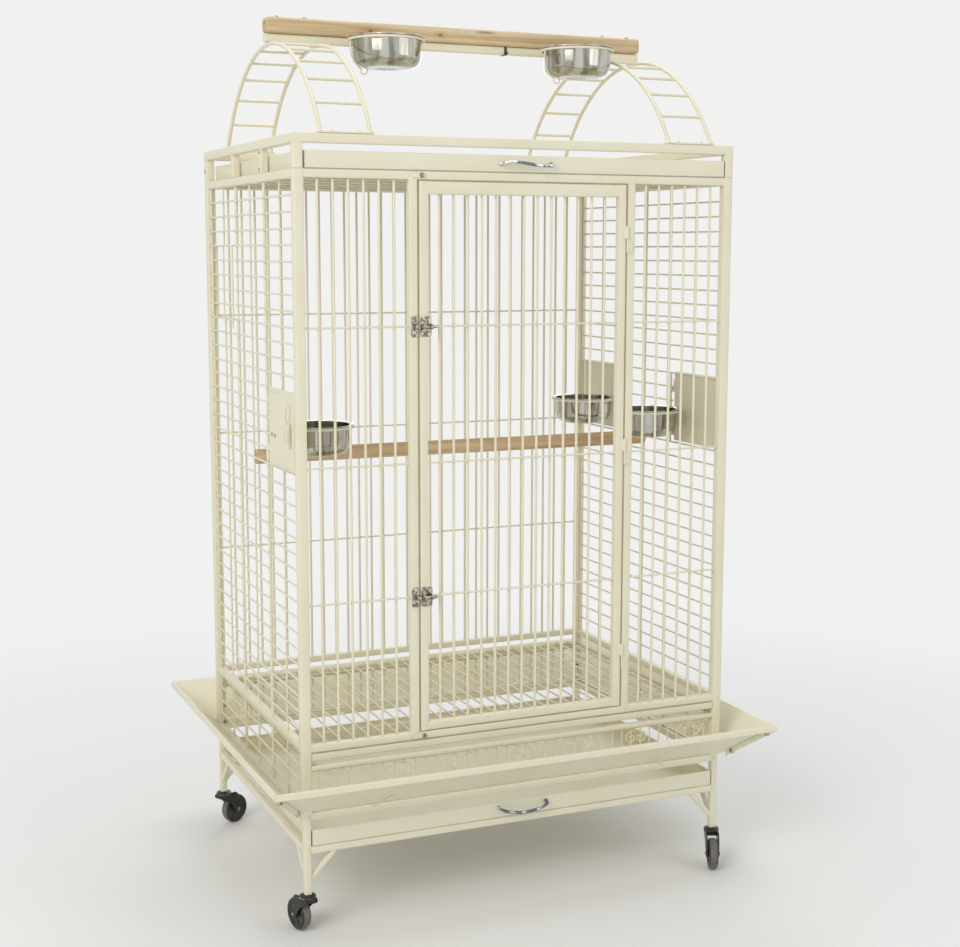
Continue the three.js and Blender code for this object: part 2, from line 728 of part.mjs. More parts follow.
// Wooden perch inside the cage
const perchEnd = halfWidth - bothLayers[1] - gap;
add('inner_perch', rod([-perchEnd, 0, innerPerchHeight], [perchEnd, 0, innerPerchHeight],
  innerPerchRadius, smallSegments), tanWood);

// Feeder doors: a plate with its hinge knuckles, grip, ring and bracket, and a lift-out bowl
const feederMiddle = half(rowHeight(rowCountAboveFeeder) + rowHeight(rowCountToFeederFoot));
const feederRingHeight = feederMiddle + feederRingLift;
function feeder(name, sign, hinge, toward, farEdge) {
  const group = moving();
  const outer = halfWidth - feederPlateInset;
  const plateX = [sign * outer, sign * (outer - feederPlate)].sort((a, b) => a - b);
  const nearEdge = hinge - toward * (feederHingeRadius + gap);
  const plateY = [nearEdge, farEdge].sort((a, b) => a - b);
  const plateFoot = rowHeight(rowCountToFeederFoot) + feederPlateLift;
  const plateUp = [plateFoot, rowHeight(rowCountAboveFeeder) + feederPlateSide];
  const axis = feederAxis(sign);
  const bowlY = hinge - toward * feederBowlFromHinge;
  const bowlX = sign * (halfWidth - feederBowlIn);
  const pieces = [block(plateX, plateY, plateUp)];
  for (const bottom of feederKnuckles()) {
    const up = [bottom + feederKnuckle, bottom + 2 * feederKnuckle];
    pieces.push(rod([axis, hinge, up[0]], [axis, hinge, up[1]], feederHingeRadius));
    pieces.push(block(plateX, [hinge, nearEdge - toward * gap].sort((a, b) => a - b), up));
  }
  const inside = sign * (outer - half(feederPlate));
  pieces.push(ringAt(feederBowlRadius, [bowlX, bowlY, feederRingHeight]));
  const armEnd = bowlX + sign * (ringInside(feederBowlRadius) + half(ringWire));
  const armX = [inside, armEnd].sort((a, b) => a - b);
  pieces.push(block(armX, around(bowlY, ringWire), [feederRingHeight, feederRingHeight + ringWire]));
  const backX = [inside, sign * (outer - feederPlate - bowlRim)].sort((a, b) => a - b);
  pieces.push(block(backX, around(bowlY, bracketWidth),
    [feederRingHeight - bracketDrop, feederRingHeight + bracketDrop]));
  const gripY = around(farEdge + toward * (half(gripSize) + half(bracketWidth)), gripSize);
  const gripUp = around(half(plateUp[0] + plateUp[1]) + gripRise, gripHeight);
  const gripOut = sign * (outer + gripReach);
  const reach = [inside, gripOut].sort((a, b) => a - b);
  const bar = [gripOut - sign * gripSize, gripOut].sort((a, b) => a - b);
  pieces.push(block(reach, gripY, [gripUp[0], gripUp[0] + gripSize]));
  pieces.push(block(reach, gripY, [gripUp[1] - gripSize, gripUp[1]]));
  pieces.push(block(bar, gripY, gripUp));
  add(`feeder_door_${name}`, join(pieces), cream, group);
  const bowlGroup = new THREE.Group();
  group.add(bowlGroup);
  const seat = [bowlX, bowlY, feederRingHeight + ringWire];
  add(`feeder_bowl_${name}`, bowl(feederBowlRadius, seat), steel, bowlGroup);
}
feeder('left', -1, leftHinge, 1, sideStart + feederPlateSide);
feeder('right_front', 1, rightFrontHinge, 1, sideStart + feederPlateSide);
feeder('right_back', 1, rightBackHinge, -1, sideEnd - feederPlateSide);

// Breeder door on the left side, at the back
const nestSpan = [nestFront - nestOverlap, nestBack - feederHingeRadius - gap];
const nestOut = [-halfWidth - nestWire, -halfWidth];
const nestDoorUp = [nestUp[0] - half(wireSize), nestUp[1] + half(wireSize)];
const nestDepth = [-nestWire - edgeSkin, bothLayers[0] - gap];
const nestIn = [gap - halfWidth, nestDepth[1] - edgeSkin - halfWidth];
const nestTabX = [-halfWidth - half(nestWire), -halfWidth];
const nestDoor = [
  ringFrame(facing.left, nestSpan, nestDepth, nestDoorUp, nestWire),
  block(nestIn, around(half(nestSpan[0] + nestSpan[1]), nestWire),
    [nestDoorUp[0] + half(nestWire), nestDoorUp[1] - half(nestWire)]),
  block(nestTabX, [nestSpan[0] + edgeSkin, nestSpan[0] + nestTabWidth],
    [nestDoorUp[0] - nestTabDrop, nestDoorUp[0] + half(nestWire)]),
];
for (const height of rowsBetween(rowCountAboveNest, rowCountToNestFoot)) {
  nestDoor.push(block(nestOut, [nestSpan[0] + half(nestWire), nestSpan[1] - half(nestWire)],
    around(height, nestWire)));
}
for (const bottom of nestKnuckles) {
  const up = [bottom + feederKnuckle, bottom + 2 * feederKnuckle];
  nestDoor.push(rod([...nestAxis, up[0]], [...nestAxis, up[1]], feederHingeRadius));
  nestDoor.push(block(nestOut.map((x) => x + half(nestWire)), [nestSpan[1] - half(nestWire), nestBack], up));
}
add('nest_door', join(nestDoor), cream, moving());

// Front door with its latches
const doorGroup = moving();
const doorInner = doorHalfWidth - railSize;
const doorDepth = [0, railSize];
const doorHole = [doorBottom + railSize, doorTop - doorTopRail];
const doorPieces = [
  facing.front(spanOf(doorHalfWidth), doorDepth, [doorBottom, doorTop])
    .subtract(facing.front(spanOf(doorInner), [-railSize, 2 * railSize], doorHole)),
];
const doorClear = (2 * doorInner - barsInDoor * barSize) / (barsInDoor + 1);
for (let i = 0; i < barsInDoor; i += 1) {
  const middle = -doorInner + doorClear + half(barSize) + i * (doorClear + barSize);
  doorPieces.push(facing.front(around(middle, barSize), innerLayer.map((d) => d + gap),
    [doorBottom + half(railSize), doorTop - half(railSize)]));
}
for (const height of rodHeights) {
  doorPieces.push(facing.front([-doorInner - half(railSize), doorInner + half(railSize)], outerLayer,
    around(height, rodSize)));
}
for (const share of doorHingeShares) {
  const base = knuckleAt(share);
  const up = [base, base + doorHingeLength];
  doorPieces.push(rod([hingeX, hingeY, up[0]], [hingeX, hingeY, up[1]], doorHingeRadius));
  doorPieces.push(block([doorInner + half(railSize), hingeX], [hingeY, doorHingeOut - halfDepth], up));
}
add('front_door', join(doorPieces), cream, doorGroup);

const plateFace = -halfDepth - gap;
const pinY = plateFace - latchAxisOut;
const pinHole = latchPinRadius + pinClearance;
function lug([x0, x1], z) {
  const body = rod([x0, pinY, z], [x1, pinY, z], latchLugRadius);
  const foot = block([x0, x1], [pinY, plateFace - half(latchPlate)], around(z, 2 * latchLugRadius));
  const hole = rod([x0 - latchLug, pinY, z], [x1 + latchLug, pinY, z], pinHole, smallSegments);
  return body.add(foot).subtract(hole);
}
for (const row of latchRows) {
  const name = row === 0 ? 'lower' : 'upper';
  const z = rodHeights[row];
  const plateY = [plateFace - latchPlate, plateFace];
  const keeperX = around(-half(dividerInner + dividerOuter), keeperWidth);
  const keeper = [
    block(keeperX, plateY, around(z, latchHeight)),
    lug([keeperX[1] - latchLug, keeperX[1]], z),
  ];
  add(`latch_keeper_${name}`, join(keeper), nickel);
  const baseStart = gap - doorHalfWidth;
  const baseX = [baseStart, baseStart + latchWidth];
  const firstLug = [baseX[0] + latchLugMargin, baseX[0] + latchLugMargin + latchLug];
  const lastLug = [baseX[1] - latchLugMargin - latchLug, baseX[1] - latchLugMargin];
  const base = [block(baseX, plateY, around(z, latchHeight)), lug(firstLug, z), lug(lastLug, z)];
  add(`latch_base_${name}`, join(base), nickel, doorGroup);
  const pinX = [baseX[0] - gap, baseX[1] + latchTravel];
  const knobX = [lastLug[0] - gap - half(latchKnob), lastLug[0] - gap];
  const pin = rod([pinX[0], pinY, z], [pinX[1], pinY, z], latchPinRadius);
  const knob = block(knobX, [pinY - latchKnobReach, pinY], around(z, latchKnob));
  const bolt = new THREE.Group();
  doorGroup.add(bolt);
  add(`latch_bolt_${name}`, pin.add(knob), nickel, bolt);
}

// Turn buttons that hold the tray and the grate shut
function turnButton(name, z) {
  const x = half(buttonWidth) - doorHalfWidth;
  const tab = block([x - buttonLength, x], [plateFace - latchPlate, plateFace], around(z, buttonWidth));
  const headFace = plateFace - latchPlate - buttonHead;
  const head = rod([x, headFace, z], [x, plateFace, z], buttonHeadRadius, smallSegments);
  add(name, tab.add(head), cream, moving());
}
turnButton('turn_button_upper', half(roofRailHeight + roofRailTop));
turnButton('turn_button_lower', half(floorRailBottom + floorRailTopHeight));

// Trays with their handles
function tray(halfSpan, [y0, y1], bottom) {
  const up = [bottom, bottom + trayHeight];
  const outside = block([-halfSpan, halfSpan], [y0, y1], up);
  const inside = block([trayWall - halfSpan, halfSpan - trayWall], [y0 + trayWall, y1 - trayWall],
    [bottom + trayWall, bottom + trayHeight + trayWall]);
  return outside.subtract(inside);
}
const waveShares = [
  [-0.5, 0.35, 0], [-0.44, 0.9, 0.15], [-0.25, 1, 0.3], [0, 1, 0], [0.25, 1, -0.3], [0.44, 0.9, -0.15],
  [0.5, 0.35, 0],
];
const bowShares = [
  [-0.5, 0.35, 0.3], [-0.44, 0.85, 0.15], [-0.25, 1, -0.15], [0, 1, -0.3],
  [0.25, 1, -0.15], [0.44, 0.85, 0.15], [0.5, 0.35, 0.3],
];
function handle(path, face, z) {
  const grip = path.map(([x, out, rise]) => [
    x * handleSpan, face - gap - out * handleReach, z + rise * handleReach,
  ]);
  const feet = [grip[0], grip[grip.length - 1]].map(([x, , height]) => rod(
    [x, face - gap, height], [x, face - gap - half(handleReach), height], handleRadius + half(handleRadius),
  ));
  return join([sweep(grip, handleRadius, tubeSides, handleSteps), ...feet]);
}

const topTray = moving();
const topTrayBottom = roofRailTop + gap;
const trayFront = faceInset - halfDepth;
const topTrayDepth = [trayFront, halfDepth - trayBackMargin];
add('top_tray', tray(innerHalfWidth - gap - faceInset, topTrayDepth, topTrayBottom), cream, topTray);
add('top_tray_handle', handle(waveShares, trayFront, topTrayBottom + half(trayHeight)), nickel, topTray);

const bottomTray = moving();
const bottomTrayBottom = standLowRailHeight + legSize + gap;
const standHalfWidth = halfWidth - standInset;
const standHalfDepth = halfDepth - standInset;
add('bottom_tray', tray(standHalfWidth - legSize - gap - faceInset,
  [faceInset - standHalfDepth, standHalfDepth - trayBackMargin], bottomTrayBottom), cream, bottomTray);
add('bottom_tray_handle', handle(bowShares, faceInset - standHalfDepth, bottomTrayBottom + half(trayHeight)),
  nickel, bottomTray);

// Floor grate and the runners it slides on
const grateHalf = innerHalfWidth - gap - faceInset;
const grateTop = grateStripHeight + wireSize + half(wireSize);
const grateLow = grateTop - 2 * wireSize - gap - edgeSkin;
const grateSpan = [trayFront + half(trayWall), innerHalfDepth - runnerWidth - gap];
const grate = layGrid([grateHalf - faceInset, grateSpan], grateTop, grateWires, grateCrossBars, wireSize);
const strip = block([-grateHalf, grateHalf], [trayFront, trayFront + trayWall],
  [grateStripHeight, grateStripHeight + grateStripSize]);
add('floor_grate', grate.add(strip), cream, moving());
const runnerUp = [ledgeTopHeight + gap, grateLow - gap];
const runnerEnd = innerHalfDepth - gap;
const runnerX = innerHalfWidth - gap;
const runnerStart = -innerHalfDepth - half(railSize);
add('grate_runners', block(spanOf(runnerX), [runnerStart, runnerEnd], runnerUp).subtract(
  block(spanOf(runnerX - runnerWidth), [runnerStart - runnerWidth, runnerEnd - runnerWidth],
    [runnerUp[0] - runnerWidth, runnerUp[1] + runnerWidth]),
));

// Stand
const standPieces = [];
const braceSlant = braceSize * Math.SQRT2;
const legSpan = (sign, reach) => [sign * reach, sign * (reach - legSize)].sort((a, b) => a - b);
const lowRail = [standLowRailHeight, standLowRailHeight + legSize];
const upperRail = [standTopHeight - legSize, standTopHeight];
for (const sx of ends) {
  for (const sy of ends) {
    const [legX, legY] = [legSpan(sx, standHalfWidth), legSpan(sy, standHalfDepth)];
    standPieces.push(block(legX, legY, [legFootHeight, standTopHeight]));
    const foot = standLowRailHeight - braceDrop;
    const [innerX, innerY] = [standHalfWidth - legSize, standHalfDepth - legSize];
    const tuck = half(legSize);
    const slope = (inner) => [
      [inner + tuck, foot - tuck], [inner + tuck, foot - tuck + braceSlant],
      [inner - braceRun - tuck + half(braceSlant), standLowRailHeight + tuck],
      [inner - braceRun - tuck - half(braceSlant), standLowRailHeight + tuck],
    ];
    const inset = half(legSize - braceSize);
    const thin = ([low, high]) => [low + inset, high - inset];
    const [thickY, thickX] = [thin(legY), thin(legX)];
    standPieces.push(loft(...thickY.map((y) => slope(innerX).map(([x, z]) => [sx * x, y, z]))));
    standPieces.push(loft(...thickX.map((x) => slope(innerY).map(([y, z]) => [x, sy * y, z]))));
  }
  for (const up of [lowRail, upperRail]) {
    const [reachX, reachY] = [standHalfWidth - half(legSize), standHalfDepth - half(legSize)];
    standPieces.push(block(legSpan(sx, standHalfWidth), [-reachY, reachY], up));
    standPieces.push(block([-reachX, reachX], legSpan(sx, standHalfDepth), up));
  }
}
add('stand', join(standPieces));

// Skirts: a sloping sheet with a turned-down lip and two screwed flanges at the mitres
function skirt(reach, along, out, alongOut, place) {
  const [near, far] = [reach + gap, reach + out];
  const low = standTopHeight + skirtLift;
  const high = low + skirtRise;
  const end = (distance) => along + alongOut * (distance - reach) / out - mitreGap;
  const heightAt = (distance) => low + (high - low) * (distance - near) / (far - near);
  const ring = (profile, sign, inset) => profile.map(
    ([distance, z]) => place(sign * (end(distance) - inset), distance, z),
  );
  const slab = [[near, low], [far, high - skirtSheet], [far, high], [near, low + skirtSheet]];
  const lipIn = far - trayWall;
  const core = (distance) => heightAt(distance) - half(skirtSheet);
  const lip = [[lipIn, high - skirtLip], [far, high - skirtLip], [far, core(far)], [lipIn, core(lipIn)]];
  const pieces = [loft(ring(slab, -1, 0), ring(slab, 1, 0))];
  pieces.push(loft(ring(lip, -1, edgeSkin), ring(lip, 1, edgeSkin)));
  const [flangeIn, flangeOut] = [near + skirtFlange, far - half(trayWall)];
  const flange = [
    [flangeIn, core(flangeIn)], [flangeOut, core(flangeOut)],
    [flangeOut, core(flangeOut) - skirtFlange], [flangeIn, core(flangeIn) - skirtFlange],
  ];
  for (const sign of ends) {
    pieces.push(loft(ring(flange, sign, 2 * edgeSkin), ring(flange, sign, 2 * edgeSkin + trayWall)));
  }
  return join(pieces);
}
add('skirt_front', skirt(halfDepth, halfWidth, skirtFront, skirtSide, (a, d, z) => [a, -d, z]));
add('skirt_back', skirt(halfDepth, halfWidth, skirtFront, skirtSide, (a, d, z) => [a, d, z]));
add('skirt_left', skirt(halfWidth, halfDepth, skirtSide, skirtFront, (a, d, z) => [-d, a, z]));
add('skirt_right', skirt(halfWidth, halfDepth, skirtSide, skirtFront, (a, d, z) => [d, a, z]));

// Casters: a fork that swivels under each leg and a wheel that rolls on its axle
const cheekY = half(wheelWidth) + wheelSideGap;
function fork() {
  const top = legFootHeight - gap;
  const stem = rod([0, 0, top - casterStem], [0, 0, top], casterStemRadius, smallSegments);
  const side = (y) => [
    [-casterStemRadius, y, hoodHeight], [-casterStemRadius, y, top - half(casterStem)],
    [cheekFront, y, top - half(casterStem)], [cheekFront + axleRadius, y, hoodHeight - casterStem],
    [wheelTrail + 2 * axleRadius, y, wheelRadius - axleRadius],
    [wheelTrail - 2 * axleRadius, y, wheelRadius - axleRadius],
  ];
  const plates = ends.map((sign) => loft(side(sign * cheekY), side(sign * (cheekY + cheek))));
  const hood = block([-casterStemRadius, crownFront], [-cheekY - cheek, cheekY + cheek],
    [hoodHeight, top - half(casterStem)]);
  const axle = rod([wheelTrail, -cheekY - cheek, wheelRadius], [wheelTrail, cheekY + cheek, wheelRadius],
    axleRadius, smallSegments);
  return join([stem, ...plates, hood, axle]);
}
function wheel() {
  const [bore, wide] = [axleRadius + gap, half(wheelWidth)];
  const profile = [
    [bore, -wide], [wheelRadius - treadRound, -wide], [wheelRadius, treadRound - wide],
    [wheelRadius, wide - treadRound], [wheelRadius - treadRound, wide], [bore, wide], [bore, -wide],
  ];
  const lathe = new THREE.LatheGeometry(profile.map((p) => new THREE.Vector2(...p)), roundSegments);
  lathe.translate(wheelTrail, 0, wheelRadius);
  return solid(lathe);
}
for (const [name, heading] of Object.entries(casterHeadings)) {
  const sx = name.endsWith('left') ? -1 : 1;
  const sy = name.startsWith('front') ? -1 : 1;
  const swivel = moving();
  swivel.position.set(sx * (standHalfWidth - half(legSize)), sy * (standHalfDepth - half(legSize)), 0);
  swivel.rotation.z = THREE.MathUtils.degToRad(heading);
  add(`caster_fork_${name}`, fork(), black, swivel);
  const rolling = new THREE.Group();
  swivel.add(rolling);
  add(`caster_wheel_${name}`, wheel(), tread, rolling);
}

export default cage;
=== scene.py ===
import json
import math

import bmesh
import bpy
from mathutils import Matrix, Vector, noise


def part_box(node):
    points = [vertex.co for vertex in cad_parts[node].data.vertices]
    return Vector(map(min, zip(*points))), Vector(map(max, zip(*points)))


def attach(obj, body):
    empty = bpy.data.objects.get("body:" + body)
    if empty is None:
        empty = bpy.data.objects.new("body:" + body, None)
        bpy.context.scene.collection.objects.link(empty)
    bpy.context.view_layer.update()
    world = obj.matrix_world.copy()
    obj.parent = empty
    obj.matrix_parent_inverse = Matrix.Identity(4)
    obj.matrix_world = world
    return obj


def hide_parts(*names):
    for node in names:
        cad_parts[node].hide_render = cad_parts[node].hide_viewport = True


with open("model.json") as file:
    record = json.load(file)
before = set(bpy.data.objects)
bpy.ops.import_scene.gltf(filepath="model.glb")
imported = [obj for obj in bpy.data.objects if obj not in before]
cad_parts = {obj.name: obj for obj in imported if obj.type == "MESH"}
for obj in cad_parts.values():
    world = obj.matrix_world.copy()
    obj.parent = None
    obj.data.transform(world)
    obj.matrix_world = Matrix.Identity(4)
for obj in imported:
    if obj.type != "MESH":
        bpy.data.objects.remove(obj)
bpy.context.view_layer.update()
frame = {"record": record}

# Play top bird cage. Metres, +Z up, the front faces -Y.
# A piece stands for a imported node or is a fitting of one.
BOTH = (-1, 1)
ENDS = {"left": -1, "right": 1}
HALF_X = 0.457
HALF_Y = 0.325
FRONT = -HALF_Y
POST = 0.019
RAIL = 0.016
RAIL_INSET = 0.0015
TOP_RAIL = 0.018
INNER_X = HALF_X - POST
INNER_Y = HALF_Y - POST
GAP = 0.0003
SHEET = 0.0015
EDGE = 0.0022
LEAF_EDGE = 0.0006
TUBE_END = 0.0004

BODY_BOTTOM = 0.2403
LEDGE = (0.322, 0.331)
FLOOR_RAIL = (0.358, 0.372)
ROOF_RAIL = (1.420, 1.436)
TOP_RING = (1.481, 1.499)
ROD_HEIGHTS = (0.638, 0.894, 1.151)

BAR_RADIUS = 0.0025
ROD_RADIUS = 0.002
WIRE_RADIUS = 0.002
STOUT_RADIUS = 0.0034
LAP = 0.002
SEAM_RADIUS = 0.0012
# How far a rail runs into a post, and how deep the bars and rods of the door and the back lie.
TENON = 0.004
BAR_IN = 0.0101
ROD_IN = 0.0058

DOOR_HALF_X = 0.2165
DIVIDER = (0.2205, 0.2365)
DOOR_UP = (0.374, 1.4177)
DOOR_TOP_RAIL = 0.024

BODY_OF = {node: body for body, nodes in frame["record"]["behaviour"]["bodies"].items() for node in nodes}
SLOT_OF = {part["node"]: part["material_slot"] for part in frame["record"]["subparts"]}


# Spans and outlines. A span is a pair of places on one axis.
def around(middle, half):
    return (middle - half, middle + half)


def shrunk(span, inset):
    return (span[0] + inset, span[1] - inset)


def between(span, share):
    return span[0] + (span[1] - span[0]) * share


def mirrored(sign, near, far):
    return tuple(sorted((sign * near, sign * far)))


def under(half, sign, start, size=RAIL):
    """The span of something set in by start from the face at plus or minus half."""
    return mirrored(sign, half - start, half - start - size)


def spans_of(node):
    """The spans of X, Y and Z of a CAD node."""
    return tuple(zip(*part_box(node)))


def corners(across, up):
    return [(across[0], up[0]), (across[1], up[0]), (across[1], up[1]), (across[0], up[1])]


def mm(*numbers):
    """Pairs in metres from a run of millimetres."""
    return [(a / 1000, b / 1000) for a, b in zip(numbers[::2], numbers[1::2])]


def arc(centre, radius, start, end, steps, rise=None):
    """Points of an arc between two angles in degrees; rise is the other radius of an ellipse."""
    turns = [math.radians(start + (end - start) * i / steps) for i in range(steps + 1)]
    return [(centre[0] + radius * math.cos(t), centre[1] + (rise or radius) * math.sin(t)) for t in turns]


def rounded(across, up, radius, steps=4):
    """A rectangle with round corners."""
    low, high = shrunk(across, radius), shrunk(up, radius)
    centres = ((low[1], high[1]), (low[0], high[1]), (low[0], high[0]), (low[1], high[0]))
    ring = []
    for quarter, centre in enumerate(centres):
        ring += arc(centre, radius, 90 * quarter, 90 * (quarter + 1), steps - 1)
    return ring


def ribbon(path, thickness):
    """The outline of a bent sheet whose middle follows a flat path."""
    left, right = [], []
    for i, (u, v) in enumerate(path):
        before, after = path[max(i - 1, 0)], path[min(i + 1, len(path) - 1)]
        step = (after[0] - before[0], after[1] - before[1])
        side = thickness / 2 / math.hypot(*step)
        left.append((u - step[1] * side, v + step[0] * side))
        right.append((u + step[1] * side, v - step[0] * side))
    return left + right[::-1]


# Solids
class Form:
    """Points and faces of one piece, gathered before they become a mesh."""

    def __init__(self):
        self.points = []
        self.faces = []

    def loft(self, rings, closed=False, folded=False):
        """A skin over rings of as many points each. The ends of a folded strip are capped in steps."""
        start, count = len(self.points), len(rings[0])
        for ring in rings:
            self.points.extend(Vector(point) for point in ring)
        for i in range(len(rings) if closed else len(rings) - 1):
            low = start + i * count
            high = start + (i + 1) % len(rings) * count
            for j in range(count):
                k = (j + 1) % count
                self.faces.append((low + j, low + k, high + k, high + j))
        for end in () if closed else (start, start + (len(rings) - 1) * count):
            if folded:
                for j in range(count // 2 - 1):
                    back = end + count - 1 - j
                    self.faces.append((end + j, end + j + 1, back - 1, back))
            else:
                self.faces.append(tuple(range(end, end + count)))

    def moved(self, matrix):
        self.points = [matrix @ point for point in self.points]
        return self


def block(form, spans, axis, radius, ease, steps):
    """A box with round corners along one axis and eased ends."""
    spans = [sorted(span) for span in spans]
    u, v = (axis + 1) % 3, (axis + 2) % 3

    def ring(at, inset):
        points = []
        corner = max(radius - inset, radius / 4)
        for a, b in rounded(shrunk(spans[u], inset), shrunk(spans[v], inset), corner, steps):
            point = [at] * 3
            point[u], point[v] = a, b
            points.append(point)
        return points

    low, high = spans[axis]
    form.loft([ring(low, ease), ring(low + ease, 0), ring(high - ease, 0), ring(high, ease)])


def bar(form, across, along, up, radius=EDGE, end=None):
    """A square tube or flat strip along its longest span."""
    sizes = [abs(b - a) for a, b in (across, along, up)]
    radius = min(radius, 0.45 * min(sizes))
    ease = radius / 2 if end is None else end
    block(form, (across, along, up), sizes.index(max(sizes)), radius, ease, 4)


def plate(form, across, along, up, thin, radius):
    """A plate with round corners; thin is the axis it is thin along."""
    block(form, (across, along, up), thin, radius, 0.0003, 5)


def square_to(way):
    """A direction of length one and two more, square to it and to each other."""
    way = Vector(way).normalized()
    side = way.orthogonal().normalized()
    return way, side, way.cross(side)


def circle(centre, side, other, radius, sides):
    turns = [2 * math.pi * (i + 0.5) / sides for i in range(sides)]
    return [centre + radius * (side * math.cos(t) + other * math.sin(t)) for t in turns]


def lathe(form, profile, centre=(0, 0, 0), axis=(0, 0, 1), segments=48, closed=False):
    """Turns (radius, height) pairs about an axis."""
    centre = Vector(centre)
    way, side, other = square_to(axis)
    form.loft([circle(centre + way * h, side, other, r, segments) for r, h in profile], closed)


def wire(form, start, end, radius, sides=10):
    """A straight round wire with eased ends."""
    start, end = Vector(start), Vector(end)
    way, side, other = square_to(end - start)
    ease = radius * 0.35
    stations = ((start, -ease), (start + way * ease, 0), (end - way * ease, 0), (end, -ease))
    form.loft([circle(place, side, other, radius + grow, sides) for place, grow in stations])


def rod(form, x, y, z, radius, sides=10):
    """A wire along the axis whose place is given as a span."""
    ends = [[part[i] if isinstance(part, tuple) else part for part in (x, y, z)] for i in (0, 1)]
    wire(form, *ends, radius, sides)


def weld(form, start, end, radius=SEAM_RADIUS):
    """A run of weld beads along a joint."""
    start, end = Vector(start), Vector(end)
    steps = 4 * max(3, round((end - start).length / (2.2 * radius)))
    _, side, other = square_to(end - start)
    rings = []
    for i in range(steps + 1):
        swell = radius * (0.75 + 0.25 * abs(math.cos(math.pi * i / 4)))
        rings.append(circle(start.lerp(end, i / steps), side, other, swell, 8))
    form.loft(rings)


def seam(form, x, deep, height, radius=SEAM_RADIUS):
    """A weld across the underside or top of a tube that spans deep."""
    start, end = shrunk(deep, EDGE)
    weld(form, (x, start, height), (x, end, height), radius)


def smooth(points, steps, closed=False):
    """Points along a Catmull-Rom curve through the given ones."""
    points = [Vector(point) for point in points]
    count = len(points)
    at = (lambda i: points[i % count]) if closed else (lambda i: points[min(max(i, 0), count - 1)])
    curve = []
    for i in range(count if closed else count - 1):
        p0, p1, p2, p3 = at(i - 1), at(i), at(i + 1), at(i + 2)
        square, cube = 2 * p0 - 5 * p1 + 4 * p2 - p3, 3 * p1 - p0 - 3 * p2 + p3
        for k in range(steps):
            t = k / steps
            curve.append(0.5 * (2 * p1 + (p2 - p0) * t + square * t**2 + cube * t**3))
    return curve if closed else curve + points[-1:]


def sweep(form, points, radius, sides=10, closed=False, side=None):
    """A round wire along a curve."""
    points = [Vector(point) for point in points]
    last = len(points) - 1
    ways = []
    for i in range(last + 1):
        after = points[(i + 1) % (last + 1)] if closed else points[min(i + 1, last)]
        before = points[i - 1] if closed or i else points[0]
        ways.append((after - before).normalized())
    side = Vector(side) if side else ways[0].orthogonal()
    rings = []
    for point, way in zip(points, ways):
        side = (side - way * side.dot(way)).normalized()
        rings.append(circle(point, side, way.cross(side), radius, sides))
    form.loft(rings, closed)


def screw(form, centre, axis, radius, height):
    """A pan head with a round recess."""
    shares = ((1, 0), (1, 0.3), (0.85, 0.78), (0.6, 1), (0.36, 1), (0.3, 0.55), (0.06, 0.5))
    lathe(form, [(radius * r, height * h) for r, h in shares], centre, axis, 18)


def hexagon(form, centre, axis, radius, height):
    """A six-sided nut or bolt head with a turned chamfer."""
    lathe(form, ((radius, 0), (radius, 0.75 * height), (0.84 * radius, height)), centre, axis, 6)


def barrel(form, x, y, up, radius):
    """A rolled hinge knuckle."""
    ease = radius / 5
    low, high = shrunk(up, ease)
    profile = ((radius - ease, up[0]), (radius, low), (radius, high), (radius - ease, up[1]))
    lathe(form, profile, (x, y, 0), segments=20)


# Materials
WHITE = (1, 1, 1)
BLACK = (0, 0, 0)


def socket_node(tree, kind, inputs, **settings):
    """A new node; an input is a socket to link, or a value. Three numbers for a colour are opaque."""
    made = tree.nodes.new(f"ShaderNode{kind}")
    for key, value in settings.items():
        setattr(made, key, value)
    fill(tree, made, inputs)
    return made


def fill(tree, made, inputs):
    for key, value in inputs.items():
        target = made.inputs[key]
        if isinstance(value, bpy.types.NodeSocket):
            tree.links.new(value, target)
        else:
            target.default_value = (*value, 1) if target.type == "RGBA" else value


class Surface:
    """A material being made. Its place is each piece's own, in metres, so grain keeps its real size."""

    def __init__(self, name, metallic=0.0):
        self.material = bpy.data.materials.new(name)
        self.material.use_nodes = True
        self.tree = self.material.node_tree
        self.shader = self.tree.nodes["Principled BSDF"]
        self.shader.inputs["Metallic"].default_value = metallic
        self.place = self.made("TexCoord", {}, "Object")

    def made(self, kind, inputs, output=0, **settings):
        return socket_node(self.tree, kind, inputs, **settings).outputs[output]

    def noise(self, scale, detail, rough, distortion=0.0, at=None):
        inputs = {"Vector": at or self.place, "Scale": scale, "Detail": detail, "Roughness": rough}
        return self.made("TexNoise", {**inputs, "Distortion": distortion}, "Fac")

    def stretched(self, *scale):
        return self.made("Mapping", {"Vector": self.place, "Scale": scale}, "Vector")

    def ramp(self, value, *stops):
        node = socket_node(self.tree, "ValToRGB", {"Fac": value})
        elements = node.color_ramp.elements
        while len(elements) < len(stops):
            elements.new(0.5)
        for element, (place, color) in zip(elements, stops):
            element.position = place
            element.color = (*color, 1)
        return node.outputs["Color"]

    def span(self, value, low, high, start=0.3, end=0.7):
        inputs = {"Value": value, "From Min": start, "From Max": end, "To Min": low, "To Max": high}
        return self.made("MapRange", inputs, "Result")

    def mixed(self, share, first, second, blend="MIX"):
        return self.made("Mix", {0: share, 6: first, 7: second}, 2, data_type="RGBA", blend_type=blend)

    def shaded(self, first, second):
        return self.mixed(1.0, first, second, "MULTIPLY")

    def bumped(self, height, distance, strength, normal=None):
        inputs = {"Height": height, "Distance": distance, "Strength": strength}
        return self.made("Bump", {**inputs, "Normal": normal} if normal else inputs, "Normal")

    def finished(self, color, rough, normal):
        fill(self.tree, self.shader, {"Base Color": color, "Roughness": rough, "Normal": normal})
        return self.material


